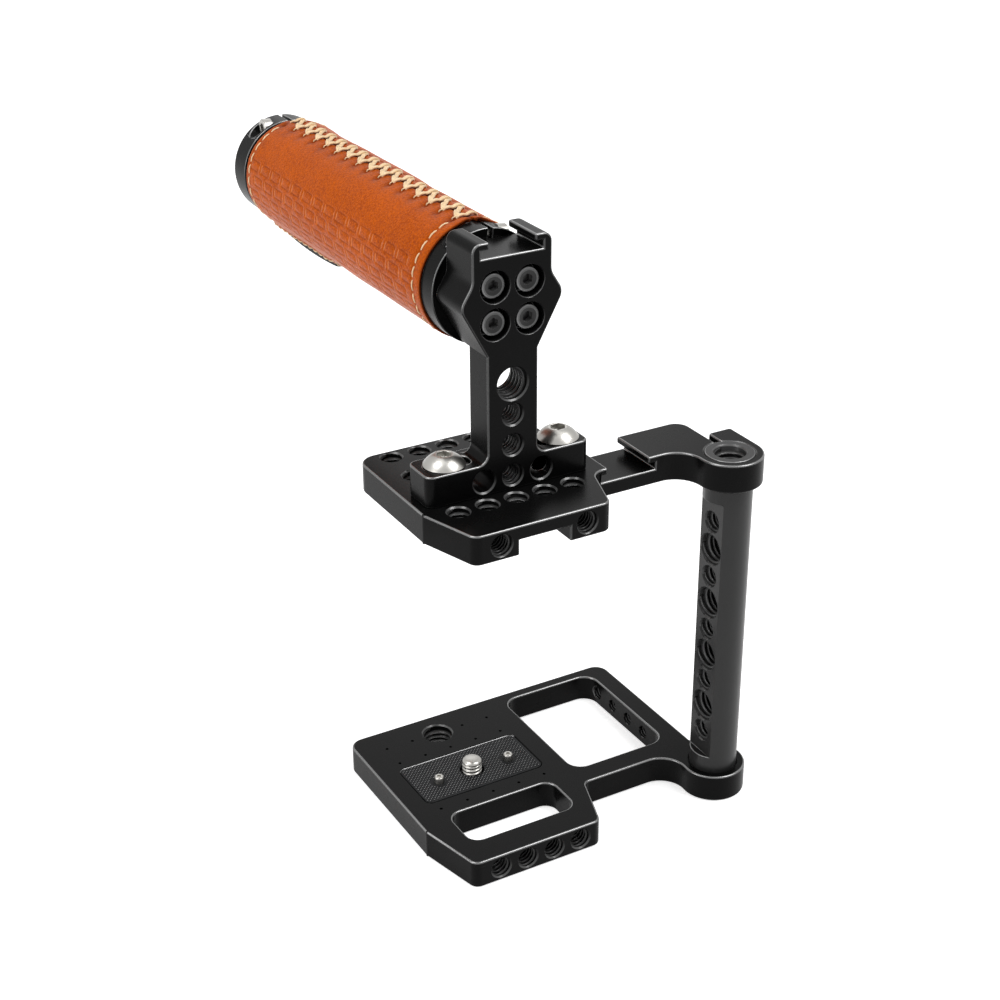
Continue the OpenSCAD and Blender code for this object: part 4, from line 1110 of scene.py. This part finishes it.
class Sky(Recipe):
    """A world under construction: its Background stands where a material has its shader."""

    def __init__(self, name):
        world = bpy.data.worlds.new(name)
        world.use_nodes = True
        self.material, self.tree = world, world.node_tree
        self.shader = self.tree.nodes["Background"]
        self.shader.inputs["Color"].default_value = (1.0, 1.0, 1.0, 1.0)


def looked_at(recipe):
    """1 for rays that look, straight on, in a mirror or through glass, and 0 for rays of light."""
    looks = [recipe.node("ShaderNodeLightPath", {}, {}, ray) for ray in LOOKING_RAYS]
    return (looks[0] + looks[1] + looks[2]).clipped()


def pale_floor(near, far, reach_m):
    """A floor that is white to whatever looks at it: its glow grows from near to far with the
    distance."""
    r = Recipe("floor", Roughness=0.9, Specular_IOR_Level=0.1, Emission_Strength=1.0)
    base = r.blend(r.noise(400.0, 1.0), (0.93, 0.93, 0.93), (0.95, 0.95, 0.95))
    away = r.node("ShaderNodeVectorMath", {"operation": "LENGTH"}, {0: r.place()}, "Value")
    glow = ((away * (1 / reach_m)).clipped() * (far - near) + near) * looked_at(r)
    return r.feed(Base_Color=base, Emission_Color=r.blend(glow, (0.0, 0.0, 0.0), (1.0, 1.0, 1.0)))


floor_mesh = bpy.data.meshes.new("floor")
floor_mesh.from_pydata([(x * FLOOR_HALF, y * FLOOR_HALF, 0) for x, y in ((-1, -1), (1, -1), (1, 1), (-1, 1))],
                       [], [(0, 1, 2, 3)])
floor = bpy.data.objects.new("floor", floor_mesh)
floor.location.z = -FLOOR_DROP
floor_mesh.materials.append(pale_floor(near=0.62, far=0.97, reach_m=0.9))
bpy.context.scene.collection.objects.link(floor)

sky = Sky("studio")
bpy.context.scene.world = sky.feed(Strength=looked_at(sky) * (1 - WORLD_LIGHT) + WORLD_LIGHT)
print("floor and world ready")

# %% [markdown]
# The lamps are large and soft. The strongest stands in front on the right, high up. Three on the
# left light the flank of the handle and the left sides, and two weak ones fill the top and back.

# %% Lamps
CENTRE = np.array([0.0, 0.0, 0.09])


def softbox(name, azimuth, height, distance, size_m, watts):
    """A square area lamp that looks at the cage: azimuth is from the back towards +X, height is
    the angle above the floor, both in degrees."""
    a, e = np.radians(azimuth), np.radians(height)
    away = np.array([np.sin(a) * np.cos(e), np.cos(a) * np.cos(e), np.sin(e)])
    lamp = bpy.data.lights.new(name, "AREA")
    lamp.energy, lamp.size = watts, size_m
    box = bpy.data.objects.new(name, lamp)
    axes = np.column_stack([frame_about(away).T, CENTRE + distance * away])
    box.matrix_world = Matrix([*axes.tolist(), [0, 0, 0, 1]])
    bpy.context.scene.collection.objects.link(box)


LAMPS = {"above": (0, 88, 1.0, 0.6, 1.0), "front_right_high": (138, 52, 1.0, 0.5, 6.0),
         "left_high": (-90, 60, 1.0, 0.45, 3.6), "back_right": (25, 32, 1.1, 0.5, 0.6),
         "left": (-100, 25, 1.1, 0.5, 1.6), "left_low": (-90, 6, 1.2, 0.45, 4.0)}
for name, setting in LAMPS.items():
    softbox(name, *setting)
print("studio ready,", len(LAMPS), "lamps")
